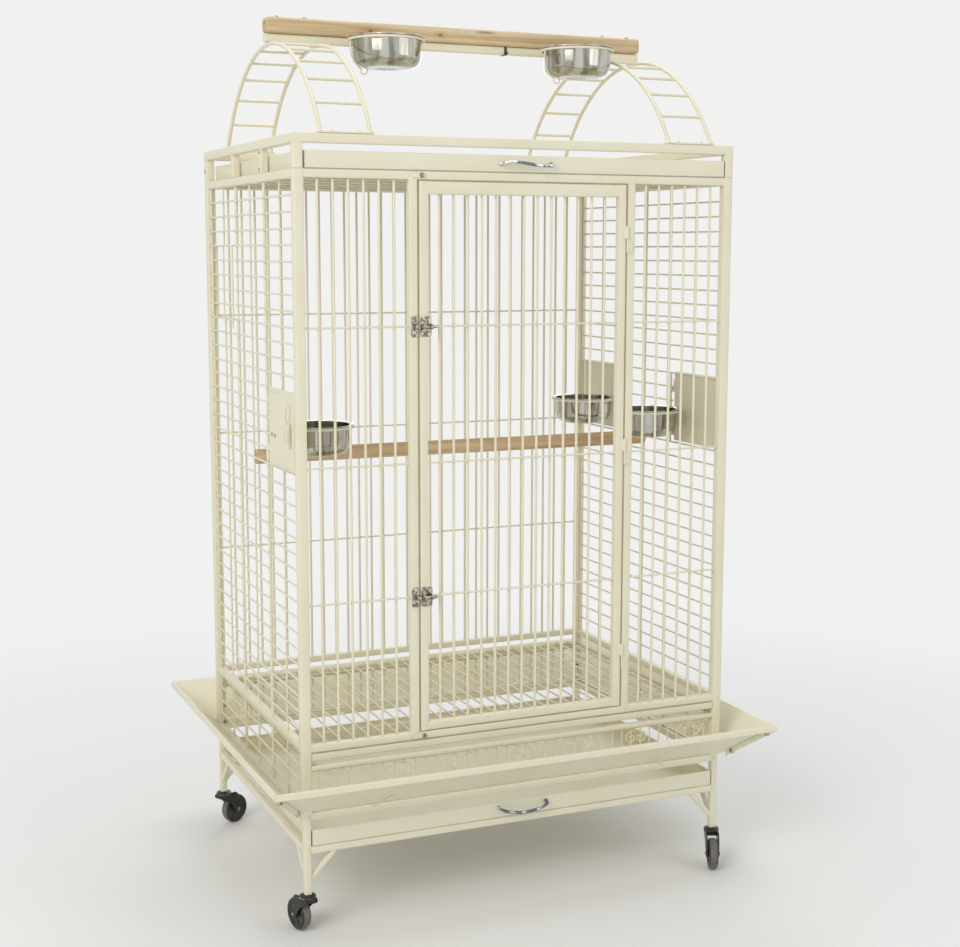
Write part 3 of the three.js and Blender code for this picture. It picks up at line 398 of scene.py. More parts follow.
def powder_coat():
    coat = Surface("cream_powder_coat")
    cloud = coat.noise(7, 4, 0.6)
    speck = coat.noise(420, 2, 0.7)
    cream = coat.ramp(cloud, (0.3, (0.775, 0.725, 0.545)), (0.7, (0.815, 0.775, 0.605)))
    dust = coat.ramp(speck, (0.0, WHITE), (0.66, WHITE), (0.8, (0.93, 0.91, 0.87)))
    waves = coat.bumped(coat.noise(240, 2, 0.5), 0.0002, 0.35)
    peel = coat.bumped(coat.noise(900, 2, 0.5), 0.00005, 0.5, waves)
    return coat.finished(coat.shaded(cream, dust), coat.span(cloud, 0.33, 0.45), peel)


KNOT_STRETCH = 0.55
KNOT_EDGE = (0.50, 0.30, 0.14)
KNOT_HEART = (0.24, 0.11, 0.045)
# The centre and radius of each knot that the photo shows on the beam.
BEAM_KNOTS = (
    ((-0.2157, -0.016, 1.7165), 0.0042), ((-0.1988, -0.016, 1.7235), 0.0036),
    ((-0.0485, -0.016, 1.7235), 0.0030), ((0.262, 0.016, 1.722), 0.0045),
    ((-0.335, 0.004, 1.7403), 0.0030), ((0.07, 0.016, 1.716), 0.0036),
)


def timber(name, dark, middle, light, specks, knots=()):
    """Wood whose grain runs along X. The larger specks is, the more small knots lie anywhere in it."""
    wood = Surface(name)
    figure = wood.noise(1, 5, 0.55, 1.2, wood.stretched(1.6, 30, 30))
    rings = wood.noise(1, 4, 0.6, 0.4, wood.stretched(5, 150, 150))
    fibre = wood.noise(1, 3, 0.6, at=wood.stretched(60, 1400, 1400))
    base = wood.ramp(figure, (0.3, dark), (0.5, middle), (0.68, light))
    lines = wood.ramp(rings, (0.35, (0.84, 0.78, 0.70)), (0.55, WHITE))
    hairs = wood.ramp(fibre, (0.3, (0.9, 0.87, 0.83)), (0.6, WHITE))
    cells = wood.made("TexVoronoi", {"Vector": wood.stretched(3.2, 22, 22), "Scale": 1.0}, "Distance")
    speck = wood.ramp(cells, (0.0, WHITE), (specks * 0.5, (0.8, 0.8, 0.8)), (specks, BLACK))
    color = wood.mixed(speck, wood.shaded(wood.shaded(base, lines), hairs), [part * 0.42 for part in dark])
    flattened = wood.stretched(KNOT_STRETCH, 1, 1)
    for (x, y, z), radius in knots:
        inputs = {0: flattened, 1: (KNOT_STRETCH * x, y, z)}
        away = wood.made("VectorMath", inputs, "Value", operation="DISTANCE")
        halo = wood.mixed(wood.span(away, 0.5, 0, radius, radius * 3.4), color, KNOT_EDGE)
        color = wood.mixed(wood.span(away, 0.85, 0, radius * 0.5, radius * 1.15), halo, KNOT_HEART)
    relief = wood.bumped(fibre, 0.0001, 0.6, wood.bumped(rings, 0.0003, 0.5))
    return wood.finished(color, wood.span(rings, 0.62, 0.78), relief)


def metal(name, color, rough, scratch, turned=False, dark_patches=None):
    """Bright metal; turned gives the fine circles of a spun bowl about the piece's own Z, and upright light
    and dark streaks in its colour that are painted reflection.

    The last argument is the size of a darker patch, as patches in a metre, and its colour; on the chrome
    handle these patches are painted reflection.
    """
    bright = Surface(name, metallic=1.0)
    if turned:
        parts = socket_node(bright.tree, "SeparateXYZ", {"Vector": bright.place}).outputs
        flat = bright.made("CombineXYZ", {"X": parts["X"], "Y": parts["Y"]})
        radius = bright.made("VectorMath", {0: flat}, "Value", operation="LENGTH")
        lines = bright.made("CombineXYZ", {"X": radius, "Z": parts["Z"]})
    else:
        lines = bright.stretched(1, 0.25, 1)
    brushed = bright.noise(1600, 3, 0.6, at=lines)
    smudge = bright.noise(35, 4, 0.6)
    shade = bright.ramp(smudge, (0.3, [part * 0.93 for part in color]), (0.7, color))
    if turned:
        # Upright light and dark streaks in the bowl's colour are painted reflection; the brightest, above
        # white, are painted highlights.
        reflection_streaks = bright.noise(42, 3, 0.55, 0.4, bright.stretched(1, 1, 0.12))
        reflection_bands = ((0.36, (0.52, 0.49, 0.43)), (0.5, (0.88, 0.87, 0.84)), (0.62, (1.25, 1.25, 1.25)))
        shade = bright.shaded(shade, bright.ramp(reflection_streaks, *reflection_bands))
    # Darker patches at random places; on the chrome handle they are painted reflection of dark surroundings.
    if dark_patches:
        patches = bright.noise(dark_patches[0], 2, 0.5)
        shade = bright.shaded(shade, bright.ramp(patches, (0.44, dark_patches[1]), (0.6, WHITE)))
    grey = bright.made("Math", {0: brushed, 1: smudge}, operation="MULTIPLY")
    sheen = bright.span(grey, rough * 0.7, rough * 1.5, 0.15, 0.4)
    return bright.finished(shade, sheen, bright.bumped(brushed, scratch, 0.4))


def moulded(name, dark, light, rough, grain):
    """Plastic or rubber with a fine moulded grain and a little dust."""
    mould = Surface(name)
    dust = mould.noise(60, 4, 0.65)
    relief = mould.bumped(mould.noise(1500, 2, 0.6), grain, 0.6)
    return mould.finished(
        mould.ramp(dust, (0.4, dark), (0.75, light)), mould.span(dust, rough * 0.85, rough * 1.25), relief)


MATERIALS = {
    "cream_coat": powder_coat(),
    "pale_pine": timber(
        "pale_pine", (0.52, 0.37, 0.20), (0.70, 0.55, 0.34), (0.79, 0.67, 0.46), 0.11, BEAM_KNOTS),
    "tan_wood": timber("tan_wood", (0.50, 0.34, 0.18), (0.66, 0.48, 0.29), (0.74, 0.57, 0.36), 0.03),
    "bowl_steel": metal("bowl_steel", (0.50, 0.49, 0.45), 0.11, 0.00002, turned=True),
    "latch_nickel": metal("latch_nickel", (0.60, 0.57, 0.51), 0.24, 0.00003, dark_patches=(150, (0.42, 0.37, 0.31))),
    # The chrome handle's dark patches are painted reflection; the nickel's are darker patches at random
    # places.
    "handle_chrome": metal("handle_chrome", (0.78, 0.79, 0.80), 0.09, 0.00001, dark_patches=(48, (0.20, 0.22, 0.28))),
    "caster_black": moulded("caster_black", (0.012, 0.012, 0.014), (0.035, 0.033, 0.032), 0.3, 0.00003),
    "caster_tread": moulded("caster_tread", (0.13, 0.115, 0.10), (0.22, 0.20, 0.18), 0.7, 0.00008),
}


def linked(name, data):
    made = bpy.data.objects.new(name, data)
    bpy.context.scene.collection.objects.link(made)
    return made


def dress(node, kind, form, own_slot=None, origin=(0, 0, 0), smooth_angle=40):
    """Makes a piece on a node's body. Without a slot of its own, it stands for the node, with its slot."""
    slot = own_slot or SLOT_OF[node]
    mesh = bpy.data.meshes.new(f"{node}_{kind}")
    mesh.from_pydata([point - Vector(origin) for point in form.points], [], form.faces)
    shaped = bmesh.new()
    shaped.from_mesh(mesh)
    bmesh.ops.recalc_face_normals(shaped, faces=shaped.faces)
    shaped.to_mesh(mesh)
    shaped.free()
    mesh.materials.append(MATERIALS[slot])
    mesh.shade_smooth()
    mesh.set_sharp_from_angle(angle=math.radians(smooth_angle))
    piece = linked(mesh.name, mesh)
    piece.location = origin
    body = BODY_OF[node]
    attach(piece, body)
    if not own_slot:
        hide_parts(node)


def trim(node, kind, form, slot="latch_nickel"):
    """A small fitting that moves with a node and stands for none."""
    dress(node, kind, form, slot)


# Frames
HINGE_SHARES = (0.1, 0.5, 0.9)
HINGE_AXIS = (0.2185, -0.3266)
HINGE_RADIUS = 0.0022
HINGE_LENGTH = 0.026
STEP_Y = 0.102
GRILLE_BARS = 6
BACK_SPACES = 30
FRONT_PLANE = FRONT + 0.0095


def top_frame():
    form = Form()
    for sign in BOTH:
        bar(form, around(0, HALF_X), under(HALF_Y, sign, 0, TOP_RAIL), TOP_RING, end=TUBE_END)
        side = under(HALF_X, sign, 0, TOP_RAIL)
        bar(form, side, around(0, HALF_Y - TOP_RAIL + EDGE / 2), TOP_RING)
        for end in BOTH:
            deep = under(HALF_Y, end, 0, TOP_RAIL)
            bar(form, side, deep, (ROOF_RAIL[1] + GAP, TOP_RING[0] + EDGE / 2), end=0.0003)
            seam(form, sign * (HALF_X - TOP_RAIL), deep, TOP_RING[0], 0.0016)
            step = around(end * STEP_Y, 0.0055)
            bar(form, under(HALF_X, sign, RAIL_INSET), step, (ROOF_RAIL[1] + GAP, TOP_RING[0] + LAP))
    dress("top_frame", "rails", form)
    bolts = Form()
    for sign in BOTH:
        side = (sign, 0, 0)
        screw(bolts, (sign * HALF_X, HALF_Y - TOP_RAIL / 2, ROOF_RAIL[1] + 0.022), side, 0.004, 0.0018)
        for height in (ROOF_RAIL[1] + 0.007, TOP_RING[0] - 0.006):
            screw(bolts, (sign * (HALF_X - RAIL_INSET), -STEP_Y, height), side, 0.0034, 0.0014)
    trim("top_frame", "screws", bolts)


def posts(form, side):
    """Both upright tubes of the front (-1) or back (1) of the body."""
    for sign in BOTH:
        deep = under(HALF_Y, side, 0, POST)
        bar(form, under(HALF_X, sign, 0, POST), deep, (BODY_BOTTOM, ROOF_RAIL[1]), end=TUBE_END)


def rails(form, deep, *heights):
    for up in heights:
        bar(form, around(0, INNER_X + TENON), deep, up)
        for sign in BOTH:
            seam(form, sign * INNER_X, deep, up[0])


def door_hinges(form, start, leaf):
    """The knuckles of the front door's hinges on one half, with leaves that reach from the axis to leaf."""
    for share in HINGE_SHARES:
        low = between(DOOR_UP, share) + start
        up = (low, low + HINGE_LENGTH)
        barrel(form, *HINGE_AXIS, up, HINGE_RADIUS)
        thick = (HINGE_AXIS[1] - 0.0006, FRONT + 0.001)
        bar(form, (HINGE_AXIS[0], leaf), thick, shrunk(up, 0.001), LEAF_EDGE)


def front_frame():
    form = Form()
    posts(form, -1)
    rails(form, under(HALF_Y, -1, 0.0009), ROOF_RAIL, FLOOR_RAIL, LEDGE)
    stile = under(HALF_Y, -1, 0.0005)
    for sign in BOTH:
        wide = mirrored(sign, *DIVIDER)
        bar(form, wide, stile, (FLOOR_RAIL[1] - 0.007, ROOF_RAIL[0] + 0.008))
        for x in wide:
            seam(form, x, stile, FLOOR_RAIL[1])
            seam(form, x, stile, ROOF_RAIL[0])
    door_hinges(form, -GAP - HINGE_LENGTH, DIVIDER[0] + 0.009)
    dress("front_frame", "tubes", form)


def grille_bars(form, across, up, count, plane, rod_plane, reach=0.0):
    """Upright bars crossed by thin rods, which reach past the span at both ends."""
    clear = (across[1] - across[0] - count * 2 * BAR_RADIUS) / (count + 1)
    for i in range(count):
        x = across[0] + clear + BAR_RADIUS + i * (clear + 2 * BAR_RADIUS)
        rod(form, x, plane, up, BAR_RADIUS, 12)
    for height in ROD_HEIGHTS:
        rod(form, shrunk(across, -reach), rod_plane, height, ROD_RADIUS)


def front_grilles():
    up = shrunk((FLOOR_RAIL[1], ROOF_RAIL[0]), GAP)
    for name, sign in ENDS.items():
        form = Form()
        across = mirrored(sign, DIVIDER[1] + GAP, INNER_X - GAP)
        grille_bars(form, across, up, GRILLE_BARS, FRONT_PLANE, FRONT_PLANE - 0.003)
        dress(f"front_grille_{name}", "bars", form)


def back_panel():
    form = Form()
    posts(form, 1)
    foot = (BODY_BOTTOM, BODY_BOTTOM + 0.009)
    rails(form, under(HALF_Y, 1, RAIL_INSET), ROOF_RAIL, FLOOR_RAIL, LEDGE, foot)
    for i in range(1, BACK_SPACES):
        x = between(around(0, INNER_X), i / BACK_SPACES)
        for up in ((FLOOR_RAIL[1], ROOF_RAIL[0]), (foot[1], LEDGE[0])):
            rod(form, x, HALF_Y - BAR_IN, shrunk(up, -LAP), BAR_RADIUS, 12)
    for height in ROD_HEIGHTS:
        rod(form, around(0, INNER_X + LAP), HALF_Y - ROD_IN, height, ROD_RADIUS)
    dress("back_panel", "tubes", form)
    bolts = Form()
    for sign in BOTH:
        for height in (0.27, 0.365, 1.38):
            hexagon(bolts, (sign * (HALF_X - POST / 2), HALF_Y, height), (0, 1, 0), 0.0055, 0.0035)
        for height in (0.245, 0.281):
            screw(bolts, (sign * (INNER_X + 0.004), INNER_Y, height), (0, -1, 0), 0.0036, 0.0018)
    trim("back_panel", "bolts", bolts)


# Side panels
ROW_COUNT = 35
ROW_PITCH = (ROOF_RAIL[0] - FLOOR_RAIL[1]) / ROW_COUNT
COLUMN_COUNT = 6
LOWER_ROWS = 3
MARGIN = 0.001
PANELS = {
    "left": ("top", "nest_front", "nest_back", "middle", "feeder", "lower"),
    "right": ("top", "feeder", "lower"),
}
EDGED_PANELS = ("top", "middle", "lower")
KNUCKLE_RADIUS = 0.0034
KNUCKLE_LENGTH = 0.014
FEEDER_ROWS = (18, 13)
NEST_ROWS = (9, 4)
NEST_HINGE = 0.267
# Each feeder door's side, the place of its hinge, the way in which the hinge lies, and the place of its bowl.
FEEDERS = {
    "left": (-1, -0.137, 1, 0.171),
    "right_front": (1, -0.113, 1, 0.147),
    "right_back": (1, 0.113, -1, 0.147),
}


def row_height(row):
    return ROOF_RAIL[0] - row * ROW_PITCH


def side_panel(node, sign, edged):
    """A stretch of the side mesh as large as its node, with rails where the node has them."""
    _, along, up = spans_of(node)
    x_cross, x_up = sign * (HALF_X - 0.0055), sign * (HALF_X - 0.0092)
    tall = (up[0], min(up[1], ROOF_RAIL[0] + MARGIN))
    deep = (max(along[0], -INNER_Y), min(along[1], INNER_Y))
    form = Form()
    for i in range(1, COLUMN_COUNT):
        y = between(around(0, INNER_Y), i / COLUMN_COUNT)
        radius = WIRE_RADIUS if i % 2 else STOUT_RADIUS
        if deep[0] + radius < y < deep[1] - radius:
            rod(form, x_up, y, tall, radius, 12)
    for y in shrunk(deep, WIRE_RADIUS):
        rod(form, x_up, y, tall, WIRE_RADIUS)
    heights = [row_height(row) for row in range(1, ROW_COUNT)]
    heights += [between((BODY_BOTTOM, FLOOR_RAIL[0]), i / (LOWER_ROWS + 1)) for i in range(LOWER_ROWS + 1)]
    for height in heights:
        height = max(height, BODY_BOTTOM + WIRE_RADIUS)
        on_edge = min(abs(height - up[0]), abs(height - up[1])) < MARGIN
        if up[0] - MARGIN < height < up[1] + MARGIN and (edged or not on_edge):
            rod(form, x_cross, deep, height, WIRE_RADIUS)
    for rail in (ROOF_RAIL, FLOOR_RAIL):
        if up[0] < rail[0] - 0.01 and up[1] > rail[1] - MARGIN:
            bar(form, under(HALF_X, sign, RAIL_INSET), around(0, INNER_Y - 0.0007), rail)
    return form


def knuckles(form, sign, y, rows, leaf, thick, shift=0.028, drop=0.0, length=KNUCKLE_LENGTH):
    """A hinge knuckle above the lower of two rows and one below the upper, with leaves that reach to leaf."""
    for bottom in (row_height(rows[0]) + shift, row_height(rows[1]) - shift - drop):
        up = (bottom, bottom + length)
        barrel(form, sign * (HALF_X + 0.001), y, up, KNUCKLE_RADIUS)
        bar(form, under(HALF_X, sign, *thick), (y, leaf), shrunk(up, 0.001), LEAF_EDGE)


def fixed_knuckles(form, sign, y, rows, toward):
    """The halves of a side door's hinges on its panel, each beside the door's own."""
    knuckles(form, sign, y, rows, y + toward * 0.0035, (-0.001, 0.006), 0.014, 0.028, 0.0137)


def side_panels():
    for side, reflection_bands in PANELS.items():
        for band in reflection_bands:
            node = f"{side}_panel_{band}"
            form = side_panel(node, ENDS[side], band in EDGED_PANELS)
            for sign, y, toward, _ in FEEDERS.values():
                if band == "feeder" and sign == ENDS[side]:
                    fixed_knuckles(form, sign, y, FEEDER_ROWS, toward)
            if band == "nest_back":
                fixed_knuckles(form, -1, NEST_HINGE, NEST_ROWS, 1)
            dress(node, "mesh", form)


# Scrollwork
ORNAMENTS = 7
WIRES_PER_BAY = 6
BAY = 2 * INNER_X / (ORNAMENTS - 0.25)
SCROLL_RADIUS = 0.0015
CURL_RADIUS = 0.0014
SCROLL_UP = (BODY_BOTTOM, LEDGE[0] - GAP)
ORNAMENT_WIDTH = 0.377 * BAY
CURL_SHARES = (
    (0.245, 0.574), (0.409, 0.647), (0.532, 0.758), (0.511, 0.856), (0.368, 0.924), (0.184, 0.905),
    (0.102, 0.832), (0.12, 0.78),
)
OVAL_HALF_SHARES = (
    (0.082, 0.77), (0.061, 0.697), (0.184, 0.617), (0.348, 0.629), (0.46, 0.721), (0.409, 0.832),
    (0.204, 0.893),
)
OVAL_TOP_SHARES = (0, 0.912)
CURL_BAR_SHARES = ((0.1, 0.785), (0.43, 0.785))
OVAL_BAR_SHARES = ((0.07, 0.765), (0.36, 0.765))


def scroll_panel():
    """Upright wires with curls and ovals in turn, whose points are shares of their width and height."""
    form = Form()
    plane = FRONT + POST / 2

    def spots(middle, side, shares):
        return [(middle + side * u * ORNAMENT_WIDTH, plane, between(SCROLL_UP, v)) for u, v in shares]

    for height in shrunk(SCROLL_UP, SCROLL_RADIUS):
        rod(form, around(0, INNER_X - GAP), plane, height, SCROLL_RADIUS)
    for i in range(ORNAMENTS):
        middle = (i - (ORNAMENTS - 1) / 2) * BAY
        curled = i % 2 == 0
        for side in BOTH:
            if curled:
                sweep(form, smooth(spots(middle, side, CURL_SHARES), 6), CURL_RADIUS, 8)
            ends = spots(middle, side, CURL_BAR_SHARES if curled else OVAL_BAR_SHARES)
            wire(form, *ends, CURL_RADIUS * 0.9, 8)
        if not curled:
            loop = spots(middle, -1, OVAL_HALF_SHARES) + spots(middle, 1, (OVAL_TOP_SHARES,))
            sweep(form, smooth(loop + spots(middle, 1, OVAL_HALF_SHARES)[::-1], 6), CURL_RADIUS, 8)
    x = BAY / WIRES_PER_BAY / 2
    while x < INNER_X - 2 * SCROLL_RADIUS:
        for side in (-x, x):
            rod(form, side, plane, SCROLL_UP, SCROLL_RADIUS, 8)
        x += BAY / WIRES_PER_BAY
    dress("scroll_panel", "wires", form)


# Grids
GRID_WIRES = 29
GRATE_TOP = 0.349
GRATE_STRIP = (0.343, 0.357)
GRATE_FOLD = (0.3555, 0.357)


def lay_grid(form, across, along, crosses, top):
    """A flat grid: many wires along Y over a few along X, inside a square edge wire."""
    z = top - WIRE_RADIUS
    below = z - 2 * WIRE_RADIUS + 0.0002
    for i in range(1, GRID_WIRES + 1):
        rod(form, between(across, i / (GRID_WIRES + 1)), shrunk(along, 0.001), z, WIRE_RADIUS)
    for i in range(crosses + 2):
        rod(form, across, between(shrunk(along, WIRE_RADIUS), i / (crosses + 1)), below, WIRE_RADIUS)
    for x in shrunk(across, WIRE_RADIUS):
        rod(form, x, along, below, WIRE_RADIUS)


def grids():
    form = Form()
    across, along, up = spans_of("roof_grid")
    lay_grid(form, across, along, 4, up[1] - 0.0004)
    dress("roof_grid", "wires", form)
    form = Form()
    across, (front, back), _ = spans_of("floor_grate")
    lay_grid(form, shrunk(across, 0.0005), (front + SHEET, back), 3, GRATE_TOP)
    bar(form, across, (front, front + SHEET), GRATE_STRIP, LEAF_EDGE)
    bar(form, across, (front, front + 0.005), GRATE_FOLD, LEAF_EDGE)
    dress("floor_grate", "wires", form)
    form = Form()
    across, along, up = spans_of("grate_runners")
    for width, tall in ((0.012, (up[0], up[0] + 0.002)), (0.002, up)):
        for sign in BOTH:
            bar(form, mirrored(sign, across[1] - width, across[1]), along, tall, LEAF_EDGE)
        bar(form, across, (along[1] - width, along[1]), tall, LEAF_EDGE)
    dress("grate_runners", "strips", form)


# Play top
FOOT_PLATE = 0.003
ARC_FOOT = HALF_Y - 0.004 - GAP
PLATE_TOP = TOP_RING[1] + GAP + FOOT_PLATE
ARC_TOP = 1.6887
ARC_RISE = ARC_TOP - PLATE_TOP
ARC_RADIUS = (ARC_FOOT**2 + ARC_RISE**2) / (2 * ARC_RISE)
ARC_HALF_ANGLE = math.asin(ARC_FOOT / ARC_RADIUS)
LADDER_RAILS = (0.310, 0.405)
LADDER_SPACES = 12
PERCH_HALF = 0.413
TUBE_UP = (1.693, 1.709)
WOOD_UP = (1.7093, 1.7403)
WOOD_HALF = 0.016
WOOD_CHAMFER = 0.0058
WOOD_RUN_OUT = 0.0075
BOLT_SHARES = (0.03, 0.1, 0.9, 0.97)
TIE_X = 0.1
DOWEL_HEIGHT = 0.88
DOWEL_RADIUS = 0.015
DOWEL_EASE = 0.0012


def arc_point(x, share):
    turn = (2 * share - 1) * ARC_HALF_ANGLE
    return (x, ARC_RADIUS * math.sin(turn), ARC_TOP - ARC_RADIUS + ARC_RADIUS * math.cos(turn))


def ladders():
    """Arched rails with rungs; the middle rung is left out, where the perch tube lies."""
    for name, sign in ENDS.items():
        form, bolts = Form(), Form()
        pair = mirrored(sign, *LADDER_RAILS)
        for x in pair:
            sweep(form, [arc_point(x, i / 64) for i in range(65)], 0.004, 14, side=(1, 0, 0))
        for i in range(1, LADDER_SPACES):
            if 2 * i != LADDER_SPACES:
                wire(form, *[arc_point(x, i / LADDER_SPACES) for x in pair], 0.003, 12)
        for end in BOTH:
            foot = (PLATE_TOP - FOOT_PLATE, PLATE_TOP)
            plate(form, shrunk(pair, -0.007), under(HALF_Y, end, 0, 0.014), foot, 2, 0.003)
            for x in pair:
                collar = (x, end * (ARC_FOOT - 0.0008), PLATE_TOP)
                lathe(form, mm(6.2, 0, 4.8, 1.5, 4, 3), collar, segments=20)
            for x in shrunk(pair, 0.022):
                hexagon(bolts, (x, end * (HALF_Y - 0.007), PLATE_TOP), (0, 0, 1), 0.0052, 0.0034)
        dress(f"ladder_{name}", "tubes", form)
        trim(f"ladder_{name}", "bolts", bolts, "cream_coat")


def carved(stations, section, height, base, depth, grain):
    """A length of wood along X: a section about a height, sized by (x, size) stations and dented by noise.

    base is the height that the noise takes for the section's middle; grain is its scale along and across.
    """
    rings = []
    for x, size in stations:
        ring = []
        for y, z in section:
            dents = noise.noise(Vector((x * grain[0], y * grain[1], (z + base) * grain[1])))
            dented = size * (1 - depth * (0.5 + 0.5 * dents))
            ring.append((x, y * dented, height + z * dented))
        rings.append(ring)
    form = Form()
    form.loft(rings)
    return form


def play_perch():
    form = Form()
    bar(form, around(0, PERCH_HALF), around(0, RAIL / 2), TUBE_UP)
    dress("perch_tube", "body", form)
    bolts = Form()
    for share in BOLT_SHARES:
        place = (between(around(0, PERCH_HALF), share), 0, WOOD_UP[1])
        lathe(bolts, mm(6.2, -0.2, 6.2, 0.8, 5, 1), place, segments=24)
        lathe(bolts, mm(4.6, 0.8, 4.4, 2.6, 3, 3.8, 0.8, 4.2), place, segments=24)
    trim("perch_tube", "bolts", bolts)
    tie = Form()
    foot, top = TUBE_UP[0] - 0.0013, TUBE_UP[1] + 0.0001
    for along, end in (((-0.0093, -0.008), top), ((-0.008, 0.0093), TUBE_UP[0]), ((0.008, 0.0093), top)):
        bar(tie, around(TIE_X, 0.0028), along, (foot, end), LEAF_EDGE)
    bar(tie, around(TIE_X, 0.0038), (-0.0122, -0.009), (TUBE_UP[0] + 0.001, TUBE_UP[0] + 0.006), 0.001)
    trim("perch_tube", "tie", tie, "caster_black")
    middle = sum(WOOD_UP) / 2
    section = rounded(around(0, WOOD_HALF), around(0, WOOD_UP[1] - middle), WOOD_CHAMFER, 7)
    turns = [math.radians(15 * i) for i in range(7)]
    eased = [(PERCH_HALF - WOOD_RUN_OUT * (1 - math.sin(t)), 1 - 0.38 * (1 - math.cos(t))) for t in turns]
    stations = [(-x, size) for x, size in eased[::-1]]
    stations += [(between(around(0, PERCH_HALF - WOOD_RUN_OUT), i / 60), 1.0) for i in range(1, 60)]
    beam = carved(stations + eased, section, middle, middle, 0.012, (9, 60))
    dress("play_perch", "beam", beam, smooth_angle=60)
    ends, _, _ = spans_of("inner_perch")
    flat = shrunk(ends, DOWEL_EASE)
    blunt = DOWEL_RADIUS - DOWEL_EASE
    stations = [(between(flat, i / 50), DOWEL_RADIUS) for i in range(51)]
    stations = [(ends[0], blunt)] + stations + [(ends[1], blunt)]
    dowel = carved(stations, arc((0, 0), 1, 0, 348.75, 31), DOWEL_HEIGHT, 0, 0.015, (8, 1.5))
    dress("inner_perch", "dowel", dowel, smooth_angle=60)


# Bowls and their rings
PLAY_BOWL = 0.077
FEEDER_BOWL = 0.072
BOWL_UP = (-0.0557, 0.0023)
BOWL_WALL = 0.0011
NECK_IN = 0.008
RING_IN = 0.0065
RING_WIRE = 0.005
PLAY_BOWL_X = 0.208
PLAY_BOWL_SHIFT = 0.012
PLAY_BOWL_OUT = 0.099
PLAY_RING_LOW = 1.6933
BRACKET_Y = (-0.0103, -0.0083)


def bowl_profile(rim):
    """The spun bowl's skin from the middle of its base outside, over the rim, to the middle inside."""
    neck = rim - NECK_IN
    foot = rim - 0.032
    bottom, top = BOWL_UP
    outside = [(0.004, bottom + 0.001), (0.020, bottom + 0.001), (0.0255, bottom), (foot, bottom)]
    outside += arc((foot, bottom + 0.0225), neck - 0.0012 - foot, -79.5, -6, 7, rise=0.0225)
    outside += [(neck - 0.001, bottom + 0.028), (neck - 0.0006, bottom + 0.038)]
    outside += [(neck - 0.0002, bottom + 0.048), (neck, -0.0024), (neck + 0.0008, 0.0003)]
    outside += [(neck + 0.003, 0.0004), (rim - 0.0026, 0.0004)]
    outside += arc((rim - 0.0012, 0.00145), 0.0011, -62.5, 102.5, 6)
    outside += [(rim - 0.0035, top - 0.0006), (neck + 0.0005, top - 0.0006), (neck - 0.001, top - 0.0016)]
    inside = [(radius - BOWL_WALL, height) for radius, height in outside[11:15][::-1]]
    inside += [(radius - BOWL_WALL * 0.8, height + BOWL_WALL * 0.7) for radius, height in outside[3:11][::-1]]
    floor = bottom + BOWL_WALL
    return outside + inside + [(0.025, floor), (0.020, floor + 0.001), (0.004, floor + 0.001)]


def make_bowl(node, rim):
    across, along, up = spans_of(node)
    centre = (sum(across) / 2, sum(along) / 2, up[1] - BOWL_UP[1])
    form = Form()
    lathe(form, bowl_profile(rim), centre, segments=72)
    dress(node, "spun", form, origin=centre, smooth_angle=50)


def flat_ring(form, centre, rim):
    """The welded hoop that a bowl hangs in."""
    section = rounded((rim - RING_IN, rim - RING_IN + RING_WIRE), (0, RING_WIRE), 0.0012)
    lathe(form, section, centre, segments=72, closed=True)


def play_bowls():
    for name, sign in ENDS.items():
        form, heads = Form(), Form()
        x, y, low = PLAY_BOWL_SHIFT + sign * PLAY_BOWL_X, -PLAY_BOWL_OUT, PLAY_RING_LOW
        reach = PLAY_BOWL - RING_IN + RING_WIRE / 2
        middle = low + RING_WIRE / 2
        flat_ring(form, (x, y, low), PLAY_BOWL)
        plate(form, around(x, 0.013), BRACKET_Y, (low, TUBE_UP[1]), 1, 0.003)
        wire(form, (x, y + reach - 0.0015, middle), (x, -0.0093, middle), 0.0025)
        turn = math.radians(38)
        for side in BOTH:
            start = (x + side * reach * math.sin(turn), y + reach * math.cos(turn), middle)
            wire(form, start, (x + side * 0.010, -0.0093, middle), 0.0022)
        hanger = [(x - reach, middle), (x - reach - 0.0012, low - 0.016), (x - 0.0705, low - 0.034)]
        hanger += [(x - 0.0575, low - 0.0515)] + arc((x - 0.0465, low - 0.0572), 0.0068, 150, 450, 10)
        sweep(form, smooth([(u, y, v) for u, v in hanger], 4), 0.0014, 8, side=(0, 1, 0))
        dress(f"bowl_ring_{name}", "hoop", form)
        for shift in (-0.008, 0.008):
            screw(heads, (x + shift, BRACKET_Y[0], low + 0.010), (0, -1, 0), 0.0032, 0.0016)
        trim(f"bowl_ring_{name}", "screws", heads)
        make_bowl(f"play_bowl_{name}", PLAY_BOWL)


# Feeder doors and breeder door
FEEDER_UP = (0.885, 1.0337)
FEEDER_FAR = 0.3027
FEEDER_SWELL_IN = 0.007
FEEDER_RING_LOW = 0.953
FEEDER_BOWL_X = 0.369
LEAF_GAP = 0.0037
GRIP_RISE = 0.0325
GRIP_HALF = 0.017
# How far out and how high, as a share, each point of the grip lies.
GRIP = ((-0.0012, 1), (0.006, 1), (0.0115, 0.7), (0.0115, -0.7), (0.006, -1), (-0.0012, -1))
COIL_TURNS = 9
# How far out, along and down each point of the spring latch's hook lies.
HOOK = (
    (0, 0, 0.030), (0.0055, 0.004, 0.0285), (0.0065, 0.012, 0.024), (0.0055, 0.019, 0.012),
    (0.003, 0.020, 0.004),
)
NEST_FAR = 0.099
NEST_WIRE = 0.0017


